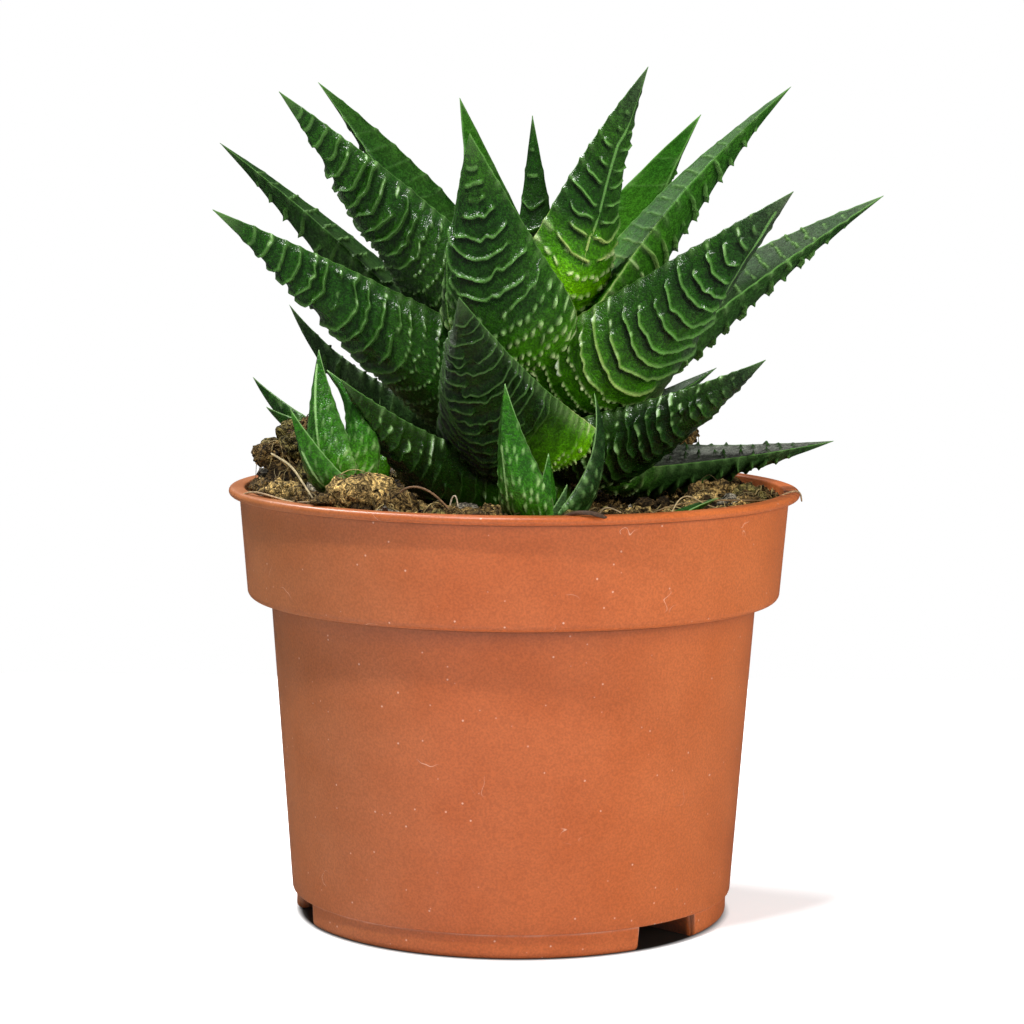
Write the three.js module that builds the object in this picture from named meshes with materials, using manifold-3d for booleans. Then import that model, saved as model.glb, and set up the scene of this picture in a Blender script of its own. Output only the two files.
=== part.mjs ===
// A potted haworthia: a rosette of stiff ridged leaves on a short stem, with young offsets beside it,
// growing in a soil-filled nursery pot.
// Units are millimetres, +Z is up, +Y points away from the side that is shown as the front.
// The origin is the middle of the pot's flat base, on the surface that it stands on.

import * as THREE from 'three';
import { mergeVertices } from 'three/addons/utils/BufferGeometryUtils.js';
import Module from 'manifold-3d';

// Driving dimensions of the pot
const POT_TOP_RADIUS = 60;
const POT_HEIGHT = 90.5;
const POT_WALL = 1.2;
const LIP_HEIGHT = 1.8;
const COLLAR_TOP_RADIUS = 57.8;
const COLLAR_FOOT_RADIUS = 56.1;
const COLLAR_FOOT_Z = 68.9;
const BODY_TOP_RADIUS = 51.1;
const BODY_TOP_Z = 66.5;
const BODY_FOOT_RADIUS = 46.6;
const FOOT_SEAM_Z = 5.4;
const FOOT_RADIUS = 45.7;
const EDGE_ROUND = 1.5;
const POT_SIDES = 40;

// Drain recesses in the pot's foot
const RECESS_BEARINGS = [75, 195, 315];
const RECESS_WIDTH = 17;
const RECESS_HEIGHT = 5;
const RECESS_INNER_RADIUS = 28;
const DRAIN_HOLE_RADIUS = 4;

// The plant: where its stem stands, and the air that neighbouring pieces keep between them
const PLANT_X = 5;
const CLEARANCE = 0.35;
const STEM_FOOT_Z = 70;
const STEM_TOP_Z = 126;
const STEM_FOOT_RADIUS = 7;
const STEM_TOP_RADIUS = 3.2;

// The leaf's form, shared by every leaf
const TAPER_POWER = 0.95;
const ROOT_NARROWING = 0.7;
const ROOT_THINNING = 0.4;
const THICKNESS_SHARE = 0.4;
const RIDGE_HEIGHT = 0.55;
const RIDGE_DROP = 0.55;
const RIDGE_BOW = 0.36;
const RIDGES_START = 0.2;
const ROOT_SHARES = [0, 0.09, 0.17];
const ROOM_SHARES = [...ROOT_SHARES, 0.25, 0.36, 0.5, 0.68, 0.84, 0.95];
const FACET_SLACK = 0.24;
const BLUNT_TIP = 1.5;
const LOWER_SIDES = [-0.82, -0.42, 0, 0.42, 0.82];
const LOWER_SIDES_BEHIND = [-0.7, 0, 0.7];

// The soil's surface: height at the wall, rise round the plant, and heaps as [x, y, height, spread]
const SOIL_WALL_Z = 88.3;
const SOIL_RISE = -2;
const SOIL_FLOOR_Z = 7;
const SOIL_SIDES = 32;
const HEAPS = [
  [-44, 8, 10, 9],
  [-30, -18, 3, 9],
  [30, 26, 6, 9],
  [-34, -38, 3, 8],
];

// Leaves from the heart outwards. bearing is the compass angle of the leaf in degrees, 0 to the right and
// 90 to the back; root and tip are [distance from the stem's axis, height]; sag bends the leaf down in the
// middle, as a share of its length; roll turns it about its own length.
const LEAVES = [
  { name: 'leaf_heart', bearing: 250, root: [0, 124], tip: [5.5, 168],
    width: 14, ridge: 6, behind: true },
  { name: 'leaf_heart_back', bearing: 70, root: [1, 123], tip: [9, 150],
    width: 12, ridge: 8, behind: true },
  { name: 'leaf_top_right', bearing: 316, root: [2, 122], tip: [29.6, 177.6],
    sag: -0.09, roll: -12, width: 28.5, ridge: 4.4 },
  { name: 'leaf_top_left', bearing: 128, root: [2, 121], tip: [28.3, 172.2],
    width: 26, ridge: 8, behind: true },
  { name: 'leaf_top_back', bearing: 45, root: [2, 119], tip: [50.2, 169.3],
    sag: -0.06, width: 32, ridge: 8, behind: true },
  { name: 'leaf_right_high', bearing: 8, root: [2, 118], tip: [53.2, 174.7],
    sag: -0.1, roll: 4, width: 33, ridge: 4.8 },
  { name: 'leaf_back_high', bearing: 85, root: [2, 116], tip: [44, 148],
    width: 27, ridge: 8, behind: true },
  { name: 'leaf_left_high_back', bearing: 157, root: [2, 116], tip: [52, 175.2],
    sag: -0.08, roll: -18, width: 31, ridge: 7, behind: true },
  { name: 'leaf_left_high', bearing: 195, root: [2, 114], tip: [55.5, 172.2],
    sag: -0.03, roll: 45, width: 33, ridge: 4.8 },
  { name: 'leaf_right_front', bearing: 322, root: [2, 105], tip: [62.6, 152.9],
    roll: -42, width: 36, ridge: 4.4 },
  { name: 'leaf_front_high', bearing: 251, root: [2, 111], tip: [44, 163.7],
    sag: 0.08, width: 46, ridge: 4.4, neck: 0.3, neckEnd: 0.45 },
  { name: 'leaf_back_left', bearing: 125, root: [2, 110], tip: [58, 140],
    width: 28, ridge: 8, behind: true },
  { name: 'leaf_right_long', bearing: 3, root: [2, 108], tip: [72.3, 152],
    sag: -0.05, roll: 20, width: 36, ridge: 4.8 },
  { name: 'leaf_back_right', bearing: 62, root: [2, 108], tip: [60, 136],
    width: 28, ridge: 8, behind: true },
  { name: 'leaf_left_back', bearing: 172, root: [2, 105], tip: [68.6, 162],
    sag: -0.06, roll: -2, width: 36, ridge: 5.6 },
  { name: 'leaf_left_long', bearing: 200, root: [2, 102], tip: [70.5, 148.3],
    sag: -0.02, roll: 50, width: 32.5, ridge: 4.6 },
  { name: 'leaf_back_low', bearing: 98, root: [2, 101], tip: [66, 118],
    width: 28, ridge: 8, behind: true },
  { name: 'leaf_right_low', bearing: 325, root: [2, 95.5], tip: [55, 119.4],
    sag: 0.07, roll: -35, width: 28, ridge: 3.8 },
  { name: 'leaf_left_low', bearing: 220, root: [2, 87], tip: [52, 115],
    sag: 0.14, roll: 30, width: 29, ridge: 3.7 },
  { name: 'leaf_front_low', bearing: 252, root: [2, 99], tip: [52, 132.1],
    sag: 0.12, width: 43, ridge: 3.2 },
  { name: 'leaf_left_low_back', bearing: 153, root: [2, 98], tip: [61.2, 127.2],
    sag: 0.17, roll: 25, width: 35, ridge: 4.4 },
  { name: 'leaf_right_low_back', bearing: 32, root: [2, 97], tip: [46, 114.3],
    width: 22, ridge: 7, behind: true },
  { name: 'leaf_right_flat', bearing: 355, root: [2, 97], tip: [62, 101],
    sag: 0.04, roll: 10, width: 28, ridge: 4 },
];

// Offsets: each stands on its own foot at [x, y, z] and has a few small leaves, given from that foot
const OFFSETS = [
  {
    name: 'offset_left_front', foot: [-34, -28, 91], radius: 3,
    leaves: [
      { bearing: 165, tip: [5.8, 29.5], width: 15, roll: 75 },
      { bearing: 180, tip: [4, 25.5], width: 12, roll: 75, sag: -0.4 },
      { bearing: 205, tip: [12, 18], width: 12, roll: 20 },
      { bearing: 76, tip: [7, 17.5], width: 8 },
    ],
  },
  {
    name: 'offset_left_back', foot: [-39, 9, 100], radius: 3,
    leaves: [
      { bearing: 178, tip: [17, 12.5], width: 12, roll: 20 },
      { bearing: 198, tip: [14.5, 6.5], width: 11, roll: 20 },
      { bearing: 110, tip: [6, 8.5], width: 5 },
    ],
  },
  {
    name: 'offset_front', foot: [5, -47, 86], radius: 4,
    leaves: [
      { bearing: 200, tip: [7.5, 29.5], width: 14, roll: 50 },
      { bearing: 300, tip: [3, 16], width: 8 },
      { bearing: 330, tip: [6, 10], width: 8 },
      { bearing: 10, tip: [10.5, 27.5], width: 11, roll: -30, sag: 0.32 },
    ],
  },
  {
    name: 'offset_middle', foot: [-27, -14, 96], radius: 1.5,
    leaves: [
      { bearing: 140, tip: [1, 14], width: 3.6 },
    ],
  },
  {
    name: 'offset_right_front', foot: [27, -44, 87], radius: 2,
    leaves: [
      { bearing: 15, tip: [14, 5.5], width: 8, sag: -0.1 },
    ],
  },
];

const wasm = await Module();
wasm.setup();

const smooth = (low, high, value) => {
  const share = Math.min(1, Math.max(0, (value - low) / (high - low)));
  return share * share * (3 - 2 * share);
};

// A repeatable number from 0 to 1 for a pair of whole numbers
const scatter = (first, second) => {
  const wave = Math.sin(first * 127.1 + second * 311.7) * 43758.5453;
  return wave - Math.floor(wave);
};

function toSolid(geometry) {
  const bare = geometry.index ? geometry.toNonIndexed() : geometry.clone();
  bare.deleteAttribute('normal');
  bare.deleteAttribute('uv');
  const merged = mergeVertices(bare, 1e-4);
  return new wasm.Manifold(new wasm.Mesh({
    numProp: 3,
    vertProperties: new Float32Array(merged.attributes.position.array),
    triVerts: new Uint32Array(merged.index.array),
  }));
}

function toGeometry(solid) {
  const mesh = solid.getMesh();
  const geometry = new THREE.BufferGeometry();
  geometry.setAttribute('position', new THREE.BufferAttribute(mesh.vertProperties, 3));
  geometry.setIndex(new THREE.BufferAttribute(mesh.triVerts, 1));
  return geometry;
}

// What is left of a cut piece: its largest body
function mainBody(solid) {
  const bodies = solid.decompose();
  return bodies.reduce((best, body) => (body.volume() > best.volume() ? body : best));
}

function joined(solids) {
  return solids.reduce((sum, solid) => sum.add(solid));
}

// A closed skin over rows of points: each row is a ring, and both ends close on a point
function skin(rows, start, end) {
  const around = rows[0].length;
  const points = [start, ...rows.flat(), end];
  const faces = [];
  const last = points.length - 1;
  for (let i = 0; i < around; i += 1) {
    const next = (i + 1) % around;
    faces.push(0, 1 + next, 1 + i);
    for (let row = 0; row < rows.length - 1; row += 1) {
      const here = 1 + row * around;
      const above = here + around;
      faces.push(here + i, here + next, above + next, here + i, above + next, above + i);
    }
    const top = 1 + (rows.length - 1) * around;
    faces.push(top + i, top + next, last);
  }
  const geometry = new THREE.BufferGeometry();
  geometry.setAttribute('position', new THREE.Float32BufferAttribute(points.flat(), 3));
  geometry.setIndex(faces);
  return geometry;
}

// The leaf's middle line at a share of its length: place, direction, and its sideways and upward axes
function midrib(leaf, share) {
  const [rootRadius, rootZ] = leaf.root;
  const [tipRadius, tipZ] = leaf.tip;
  const sag = leaf.sag ?? 0;
  const bendRadius = (rootRadius + tipRadius) / 2 + sag * (tipZ - rootZ);
  const bendZ = (rootZ + tipZ) / 2 - sag * (tipRadius - rootRadius);
  const rest = 1 - share;
  const radius = rest * rest * rootRadius + 2 * rest * share * bendRadius + share * share * tipRadius;
  const z = rest * rest * rootZ + 2 * rest * share * bendZ + share * share * tipZ;
  const outward = rest * (bendRadius - rootRadius) + share * (tipRadius - bendRadius);
  const upward = rest * (bendZ - rootZ) + share * (tipZ - bendZ);
  const angle = THREE.MathUtils.degToRad(leaf.bearing);
  const out = new THREE.Vector3(Math.cos(angle), Math.sin(angle), 0);
  const side = new THREE.Vector3(-Math.sin(angle), Math.cos(angle), 0);
  const along = out.clone().multiplyScalar(outward);
  along.z = upward;
  along.normalize();
  const place = new THREE.Vector3(leaf.centre[0], leaf.centre[1], z);
  place.addScaledVector(out, radius);
  const roll = (leaf.roll ?? 0) * (0.7 + 0.3 * smooth(0, 0.4, share));
  side.applyAxisAngle(along, THREE.MathUtils.degToRad(roll));
  const up = along.clone().cross(side);
  return { place, along, side, up };
}

function leafLength(leaf) {
  return Math.hypot(leaf.tip[0] - leaf.root[0], leaf.tip[1] - leaf.root[1]);
}

function halfWidth(leaf, share) {
  const neck = leaf.neck ?? ROOT_NARROWING;
  const root = neck + (1 - neck) * smooth(0, leaf.neckEnd ?? 0.22, share);
  return Math.max(0.35, (leaf.width / 2) * (1 - share) ** TAPER_POWER * root);
}

// A point on one edge of the leaf's flat upper face. across is 1 for one edge and -1 for the other;
// outwards moves the point away from the middle, and lift raises it off the face.
function edgePoint(leaf, share, across, outwards, lift) {
  const frame = midrib(leaf, share);
  const reach = halfWidth(leaf, share) + outwards;
  return frame.place.clone()
    .addScaledVector(frame.side, across * reach)
    .addScaledVector(frame.up, lift)
    .toArray();
}

// A point on the leaf's lower face, which is round near the root and keeled near the tip. across runs
// from -1 at one edge to 1 at the other, and outwards moves the point off the face.
function backPoint(leaf, share, across, outwards) {
  const width = halfWidth(leaf, share);
  const thinning = ROOT_THINNING + (1 - ROOT_THINNING) * smooth(0, 0.35, share);
  const depth = 2 * width * (THICKNESS_SHARE + 0.12 * share) * thinning;
  const keel = 0.15 + 0.55 * smooth(0.3, 0.9, share);
  const round = Math.sqrt(1 - across * across);
  const drop = depth * ((1 - keel) * round + keel * (1 - Math.abs(across)));
  const normal = new THREE.Vector2(across / width, -drop / (depth * depth)).normalize();
  const frame = midrib(leaf, share);
  return frame.place.clone()
    .addScaledVector(frame.side, across * width + outwards * normal.x)
    .addScaledVector(frame.up, outwards * normal.y - drop)
    .toArray();
}

// Where the ridges cross the leaf, as distances from its tip
function ridgeStations(leaf) {
  const length = leafLength(leaf);
  const stations = [];
  let distance = 4 + leaf.ridge * 0.5;
  while (distance < length * (1 - RIDGES_START)) {
    stations.push(distance);
    distance += leaf.ridge * (0.85 + 0.3 * scatter(stations.length, leaf.bearing));
  }
  return stations.map((station) => 1 - station / length);
}

// One ring of the leaf: two edge points, then the lower face, which bows towards the root in its middle
function leafRing(leaf, share, outwards, lift) {
  const edges = [1, -1].map((across) => edgePoint(leaf, share, across, outwards, lift));
  const bow = (RIDGE_BOW * halfWidth(leaf, share) * smooth(0.02, 0.2, share)) / leafLength(leaf);
  const sides = leaf.behind ? LOWER_SIDES_BEHIND : LOWER_SIDES;
  const back = sides.map((across) => {
    const moved = share - bow * (1 - across * across);
    return backPoint(leaf, moved, across, outwards);
  });
  return [...edges, ...back];
}

function leafSolid(leaf) {
  const length = leafLength(leaf);
  const rows = ROOT_SHARES.map((share) => leafRing(leaf, share, 0, 0));
  for (const crest of ridgeStations(leaf).reverse()) {
    const height = RIDGE_HEIGHT * smooth(1, 5, halfWidth(leaf, crest));
    rows.push(leafRing(leaf, crest - RIDGE_DROP / length, 0, 0));
    rows.push(leafRing(leaf, crest, height, 0));
  }
  rows.push(leafRing(leaf, 1 - BLUNT_TIP / length, 0, 0));
  const root = midrib(leaf, 0).place.toArray();
  const tip = midrib(leaf, 1).place.toArray();
  return toSolid(skin(rows, root, tip));
}

// The room that a leaf takes from its neighbours: its smooth form, with its ridges' height and clearance
function leafRoom(leaf) {
  const rows = ROOM_SHARES.map((share) => {
    const ridge = RIDGE_HEIGHT * smooth(RIDGES_START / 2, RIDGES_START, share);
    const room = CLEARANCE + FACET_SLACK + ridge;
    return leafRing(leaf, share, room, CLEARANCE);
  });
  const root = midrib(leaf, 0);
  const tip = midrib(leaf, 1);
  const below = root.place.addScaledVector(root.along, -CLEARANCE).toArray();
  const above = tip.place.addScaledVector(tip.along, 3 * RIDGE_HEIGHT).toArray();
  return toSolid(skin(rows, below, above));
}

function lathe(profile, sides) {
  const points = profile.map(([radius, z]) => new THREE.Vector2(radius, z));
  return new THREE.LatheGeometry(points, sides).rotateX(Math.PI / 2);
}

// Points of a quarter round from one angle to another, in degrees
function arc(centreRadius, centreZ, radius, from, to, steps) {
  return Array.from({ length: steps + 1 }, (_, step) => {
    const angle = THREE.MathUtils.degToRad(from + ((to - from) * step) / steps);
    return [centreRadius + radius * Math.cos(angle), centreZ + radius * Math.sin(angle)];
  });
}

// The pot's outer line from the middle of its base to the lip
function potOutline() {
  return [
    [0, 0],
    ...arc(FOOT_RADIUS - EDGE_ROUND, EDGE_ROUND, EDGE_ROUND, -90, 0, 2),
    [FOOT_RADIUS, FOOT_SEAM_Z - 0.3],
    [BODY_FOOT_RADIUS, FOOT_SEAM_Z],
    [BODY_TOP_RADIUS, BODY_TOP_Z],
    ...arc(COLLAR_FOOT_RADIUS - EDGE_ROUND, COLLAR_FOOT_Z, EDGE_ROUND, -90, 0, 2),
    [COLLAR_TOP_RADIUS, POT_HEIGHT - LIP_HEIGHT],
    [POT_TOP_RADIUS - 0.4, POT_HEIGHT - LIP_HEIGHT],
    [POT_TOP_RADIUS, POT_HEIGHT - LIP_HEIGHT / 2],
    [POT_TOP_RADIUS - 0.5, POT_HEIGHT],
  ];
}

// The line of the space inside the pot, drawn in from its walls by a margin
function innerOutline(floorZ, margin) {
  return [
    [0, floorZ],
    [FOOT_RADIUS - POT_WALL - margin, floorZ],
    [BODY_FOOT_RADIUS - POT_WALL - margin, FOOT_SEAM_Z + margin + POT_WALL],
    [BODY_TOP_RADIUS - POT_WALL - margin, BODY_TOP_Z + POT_WALL + margin],
    [COLLAR_FOOT_RADIUS - POT_WALL - margin, COLLAR_FOOT_Z + margin],
    [COLLAR_TOP_RADIUS - POT_WALL - margin, POT_HEIGHT - LIP_HEIGHT],
  ];
}

// The block that a recess takes out of the foot, or with a wall round it, the block that holds the recess
function recessBlock(bearing, wall) {
  const innerRadius = RECESS_INNER_RADIUS - wall;
  const depth = POT_TOP_RADIUS - innerRadius;
  const height = 2 * (RECESS_HEIGHT + wall);
  const block = new THREE.BoxGeometry(depth, RECESS_WIDTH + 2 * wall, height);
  block.translate(innerRadius + depth / 2, 0, 0);
  return toSolid(block.rotateZ(THREE.MathUtils.degToRad(bearing)));
}

function drainHole(bearing) {
  const hole = new THREE.CylinderGeometry(DRAIN_HOLE_RADIUS, DRAIN_HOLE_RADIUS, 6, 12);
  hole.rotateX(Math.PI / 2);
  hole.translate((RECESS_INNER_RADIUS + FOOT_RADIUS) / 2 - 1, 0, RECESS_HEIGHT);
  return toSolid(hole.rotateZ(THREE.MathUtils.degToRad(bearing)));
}

function potSolid() {
  const rimRadius = COLLAR_TOP_RADIUS - POT_WALL;
  const outline = [...potOutline(), [rimRadius, POT_HEIGHT], [0, POT_HEIGHT]];
  const above = POT_HEIGHT + 5;
  const hollow = [...innerOutline(POT_WALL, 0), [rimRadius, above], [0, above]];
  const full = toSolid(lathe(outline, POT_SIDES));
  const shell = full.subtract(toSolid(lathe(hollow, POT_SIDES)));
  const blocks = (wall) => joined(RECESS_BEARINGS.map((bearing) => recessBlock(bearing, wall)));
  const holes = joined(RECESS_BEARINGS.map(drainHole));
  return shell.add(blocks(POT_WALL).intersect(full)).subtract(blocks(0)).subtract(holes);
}

// Height of the soil at a place
function soilHeight(x, y) {
  const fromPlant = Math.hypot(x - PLANT_X, y);
  const rise = SOIL_RISE * (1 - smooth(12, 50, fromPlant));
  const heaps = HEAPS.reduce((sum, [heapX, heapY, height, spread]) => {
    const distance = Math.hypot(x - heapX, y - heapY) / spread;
    return sum + height * Math.exp(-distance * distance);
  }, 0);
  const waves = 0.5 * Math.sin(x * 0.9 + 1.3) * Math.cos(y * 0.8) + 0.4 * Math.sin(x * 0.37 - y * 0.51);
  return SOIL_WALL_Z + rise + heaps + waves;
}

function soilBed() {
  const sides = SOIL_SIDES;
  const wall = innerOutline(SOIL_FLOOR_Z, CLEARANCE).slice(1);
  const ring = (radius, heightAt) => Array.from({ length: sides }, (_, side) => {
    const angle = (2 * Math.PI * side) / sides;
    const x = radius * Math.cos(angle);
    const y = radius * Math.sin(angle);
    return [x, y, heightAt(x, y)];
  });
  const wallRings = wall.slice(0, -1).map(([radius, z]) => ring(radius, () => z));
  const topRadii = [56.0, 49, 41, 31, 20, 9];
  const topRings = topRadii.map((radius) => ring(radius, soilHeight));
  const bottom = [0, 0, SOIL_FLOOR_Z];
  const middle = [0, 0, soilHeight(0, 0)];
  return toSolid(skin([...wallRings, ...topRings], bottom, middle));
}

// One crumb of peat: a rough ball, pressed flat a little
function crumb(x, y, size, seed, detail) {
  const bare = new THREE.IcosahedronGeometry(size, detail).deleteAttribute('normal').deleteAttribute('uv');
  const ball = mergeVertices(bare);
  const spots = ball.attributes.position;
  for (let i = 0; i < spots.count; i += 1) {
    const swell = 0.75 + 0.5 * scatter(i, seed);
    spots.setXYZ(i, spots.getX(i) * swell, spots.getY(i) * swell, spots.getZ(i) * swell * 0.8);
  }
  ball.rotateZ(seed);
  ball.translate(x, y, soilHeight(x, y) + size * 0.15);
  return toSolid(ball);
}

function soilCrumbs() {
  const crumbs = [];
  for (let i = 0; i < 20; i += 1) {
    const angle = 2 * Math.PI * scatter(i, 1);
    const radius = 34 + 16 * Math.sqrt(scatter(i, 2));
    crumbs.push(crumb(radius * Math.cos(angle), radius * Math.sin(angle), 2 + 2 * scatter(i, 3), i, 0));
  }
  for (const [x, y, size] of [[-29, -39, 6], [-44, -22, 5], [32, 30, 6]]) {
    crumbs.push(crumb(x, y, size, x, 1));
  }
  return joined(crumbs);
}

function stemShape(extra) {
  const outline = [
    [0, STEM_FOOT_Z - extra],
    [STEM_FOOT_RADIUS * 0.7 + extra, STEM_FOOT_Z - extra],
    [STEM_FOOT_RADIUS + extra, STEM_FOOT_Z + 6],
    [STEM_FOOT_RADIUS + extra, STEM_FOOT_Z + 24],
    [STEM_TOP_RADIUS + extra, STEM_TOP_Z - 1],
    [STEM_TOP_RADIUS * 0.6 + extra, STEM_TOP_Z + extra],
    [0, STEM_TOP_Z + extra],
  ];
  return toSolid(lathe(outline, 16).translate(PLANT_X, 0, 0));
}

function offsetLeaf(offset, leaf) {
  const [x, y, z] = offset.foot;
  return {
    centre: [x, y],
    bearing: leaf.bearing,
    root: [0.5, z],
    tip: [leaf.tip[0], z + leaf.tip[1]],
    sag: leaf.sag ?? 0.08,
    roll: leaf.roll,
    width: leaf.width,
    ridge: 4,
  };
}

// A small leaf of an offset: fewer rings than a main leaf
function smallLeaf(leaf, room) {
  const rows = [0, 0.2, 0.45, 0.72, 0.94].map((share) => leafRing(leaf, share, room, room));
  const root = midrib(leaf, 0).place.toArray();
  const tip = midrib(leaf, 1);
  return toSolid(skin(rows, root, tip.place.addScaledVector(tip.along, room * 3).toArray()));
}

function offsetFoot(offset, extra) {
  const [x, y, z] = offset.foot;
  const foot = new THREE.CylinderGeometry(offset.radius + extra, offset.radius * 0.6 + extra, 10 + extra, 10);
  foot.rotateX(Math.PI / 2);
  return toSolid(foot.translate(x, y, z - 3 - extra / 2));
}

function offsetSolid(offset, room) {
  const leaves = offset.leaves.map((leaf) => smallLeaf(offsetLeaf(offset, leaf), room));
  return joined([offsetFoot(offset, room), ...leaves]);
}

const paint = {
  pot: new THREE.MeshStandardMaterial({ color: 0xc46a42, roughness: 0.55, metalness: 0 }),
  soil: new THREE.MeshStandardMaterial({ color: 0x5a4128, roughness: 0.95, metalness: 0 }),
  stem: new THREE.MeshStandardMaterial({ color: 0x8fae55, roughness: 0.6, metalness: 0 }),
  leaf: new THREE.MeshStandardMaterial({ color: 0x1f5a22, roughness: 0.4, metalness: 0 }),
  offset: new THREE.MeshStandardMaterial({ color: 0x2f7a2c, roughness: 0.4, metalness: 0 }),
};

const group = new THREE.Group();

function place(name, solid, material) {
  const mesh = new THREE.Mesh(toGeometry(solid), material);
  mesh.name = name;
  group.add(mesh);
}

place('pot', potSolid(), paint.pot);
place('stem', stemShape(0), paint.stem);

// Each leaf gives way to the stem and to the leaves inside it
const stemRoom = stemShape(CLEARANCE);
let taken = stemRoom;
for (const leaf of LEAVES) {
  leaf.centre = [PLANT_X, 0];
  place(leaf.name, mainBody(leafSolid(leaf).subtract(taken)), paint.leaf);
  taken = taken.add(leafRoom(leaf));
}

for (const offset of OFFSETS) {
  place(offset.name, mainBody(offsetSolid(offset, 0).subtract(taken)), paint.offset);
  taken = taken.add(offsetSolid(offset, CLEARANCE));
}

place('soil', mainBody(soilBed().add(soilCrumbs()).subtract(taken)), paint.soil);

export default group;
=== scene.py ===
import math
from types import SimpleNamespace

import bpy
import numpy as np
from bpy.props import FloatProperty, FloatVectorProperty, IntProperty, PointerProperty
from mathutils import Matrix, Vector


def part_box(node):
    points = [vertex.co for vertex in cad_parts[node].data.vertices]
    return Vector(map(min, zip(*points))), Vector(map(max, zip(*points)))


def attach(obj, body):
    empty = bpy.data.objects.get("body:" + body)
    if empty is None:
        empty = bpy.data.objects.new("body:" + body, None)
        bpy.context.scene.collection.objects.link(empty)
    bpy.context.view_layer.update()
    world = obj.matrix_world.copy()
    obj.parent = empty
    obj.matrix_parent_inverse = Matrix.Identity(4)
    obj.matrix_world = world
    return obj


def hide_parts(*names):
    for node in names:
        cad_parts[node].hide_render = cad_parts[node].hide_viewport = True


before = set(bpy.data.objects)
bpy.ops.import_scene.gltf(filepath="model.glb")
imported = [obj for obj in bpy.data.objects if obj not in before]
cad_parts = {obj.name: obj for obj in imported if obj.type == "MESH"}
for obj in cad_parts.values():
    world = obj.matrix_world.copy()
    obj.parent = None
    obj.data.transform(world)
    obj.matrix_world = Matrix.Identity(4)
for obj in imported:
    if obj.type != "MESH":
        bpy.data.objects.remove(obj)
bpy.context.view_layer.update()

bl_info = {
    "name": "Potted haworthia",
    "version": (1, 0, 0),
    "blender": (4, 5, 0),
    "location": "View3D > Sidebar > Haworthia",
    "description": "Ridged rosette, its offsets, the soil and the nursery pot",
    "category": "Object",
}

MM = 0.001
PLANT_X = 5.0           # the stem stands this far from the pot's axis
TAPER_POWER = 0.95      # under 1, so a leaf is a little fuller than a plain wedge
RIDGES_START = 0.2      # the ridges lie closer together up to this share of the leaf
COLUMNS_PER_MM = 2.5
POT_INSIDE = 56.2       # radius of the soil at the top of the pot
LIP_TOP = 91
FAR = 9                 # stands for a distance too large to matter

# What the row of a leaf may say, and what holds where it says nothing. Lengths are in millimetres and angles
# in degrees. A share runs from 0 at the root to 1 at the tip, and across from -1 at one margin over 0 in the
# middle to 1 at the other margin.
PLAIN_LEAF = dict(
    # Form. root and tip are (distance from the centre, height), as in the solid model
    centre=(PLANT_X, 0),
    sag=0,              # bend of the middle line, as a share of its span
    roll=0,             # turn about the middle line
    neck=.7,            # width at the root, as a share of the full width
    neck_end=.22,       # share at which the full width is reached
    keel_at=0,          # the keel's place across
    inner=.12,          # columns of the grid on the upper face, as a share of those below
    # Relief
    relief=1,           # height of the ridges, times the setting
    bow=.55,            # how far a ridge bows to the root, in half widths
    whole=0,            # least reach of a ridge across
    bare=0,             # share up to which one side has no ridges
    beads=.28,          # share up to which the ridges are rows of beads
    bead=1.45,          # spacing of the beads
    dash=1,             # over 1 the beads are drawn out along the leaf
    rough=.4,           # beads on the upper face
    thorns=0,           # rows of small dark teeth on the upper face
    teeth=.35,          # length of the teeth on the margins
    lines=(),           # pale lines, each as knots (share, across)
    # Colour
    crest=.5,           # paleness of the ridges
    bars=1,             # further factor on the ridges' paleness alone
    thick=1.2,          # thickness of their pale line
    margin=.6,          # thickness of the pale line on the margins
    glow=.1,            # bright green at the root; past 0.75 also a painted glow of light through the leaf
    tone=0,             # the same along the whole leaf, below nought for a darker one
    shade=None,         # (share, across, side): dark up to that share, but not past across on that side
    flank=None,         # (knots, side, worn tone, calm): past its knots the skin is worn, the ridges faint
    painted_glint=None,         # side across on which the ridges have painted whitish highlights
    grey=0,             # worn tone of both faces
    upper=.3,           # worn tone of the upper face; together with grey, past 1.4 a pale grey that is partly painted light from above
    dusty=0,            # worn tone of the outer half
    purple_tip=0,       # worn tone of the tip
    yellow_tip=.2,      # paleness of the tip
    dark=0,             # darker skin, or lighter where below nought
    matt=0,             # duller skin
)

# What the leaves of the offsets have of their own
YOUNG_LEAF = dict(sag=.08, ridge=2.6, fine=1.2, inner=.3, relief=.5, beads=1.1, bead=1.5, dash=1.5, teeth=.22,
                  bars=.3, margin=.8, glow=.15, upper=.05)

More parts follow.
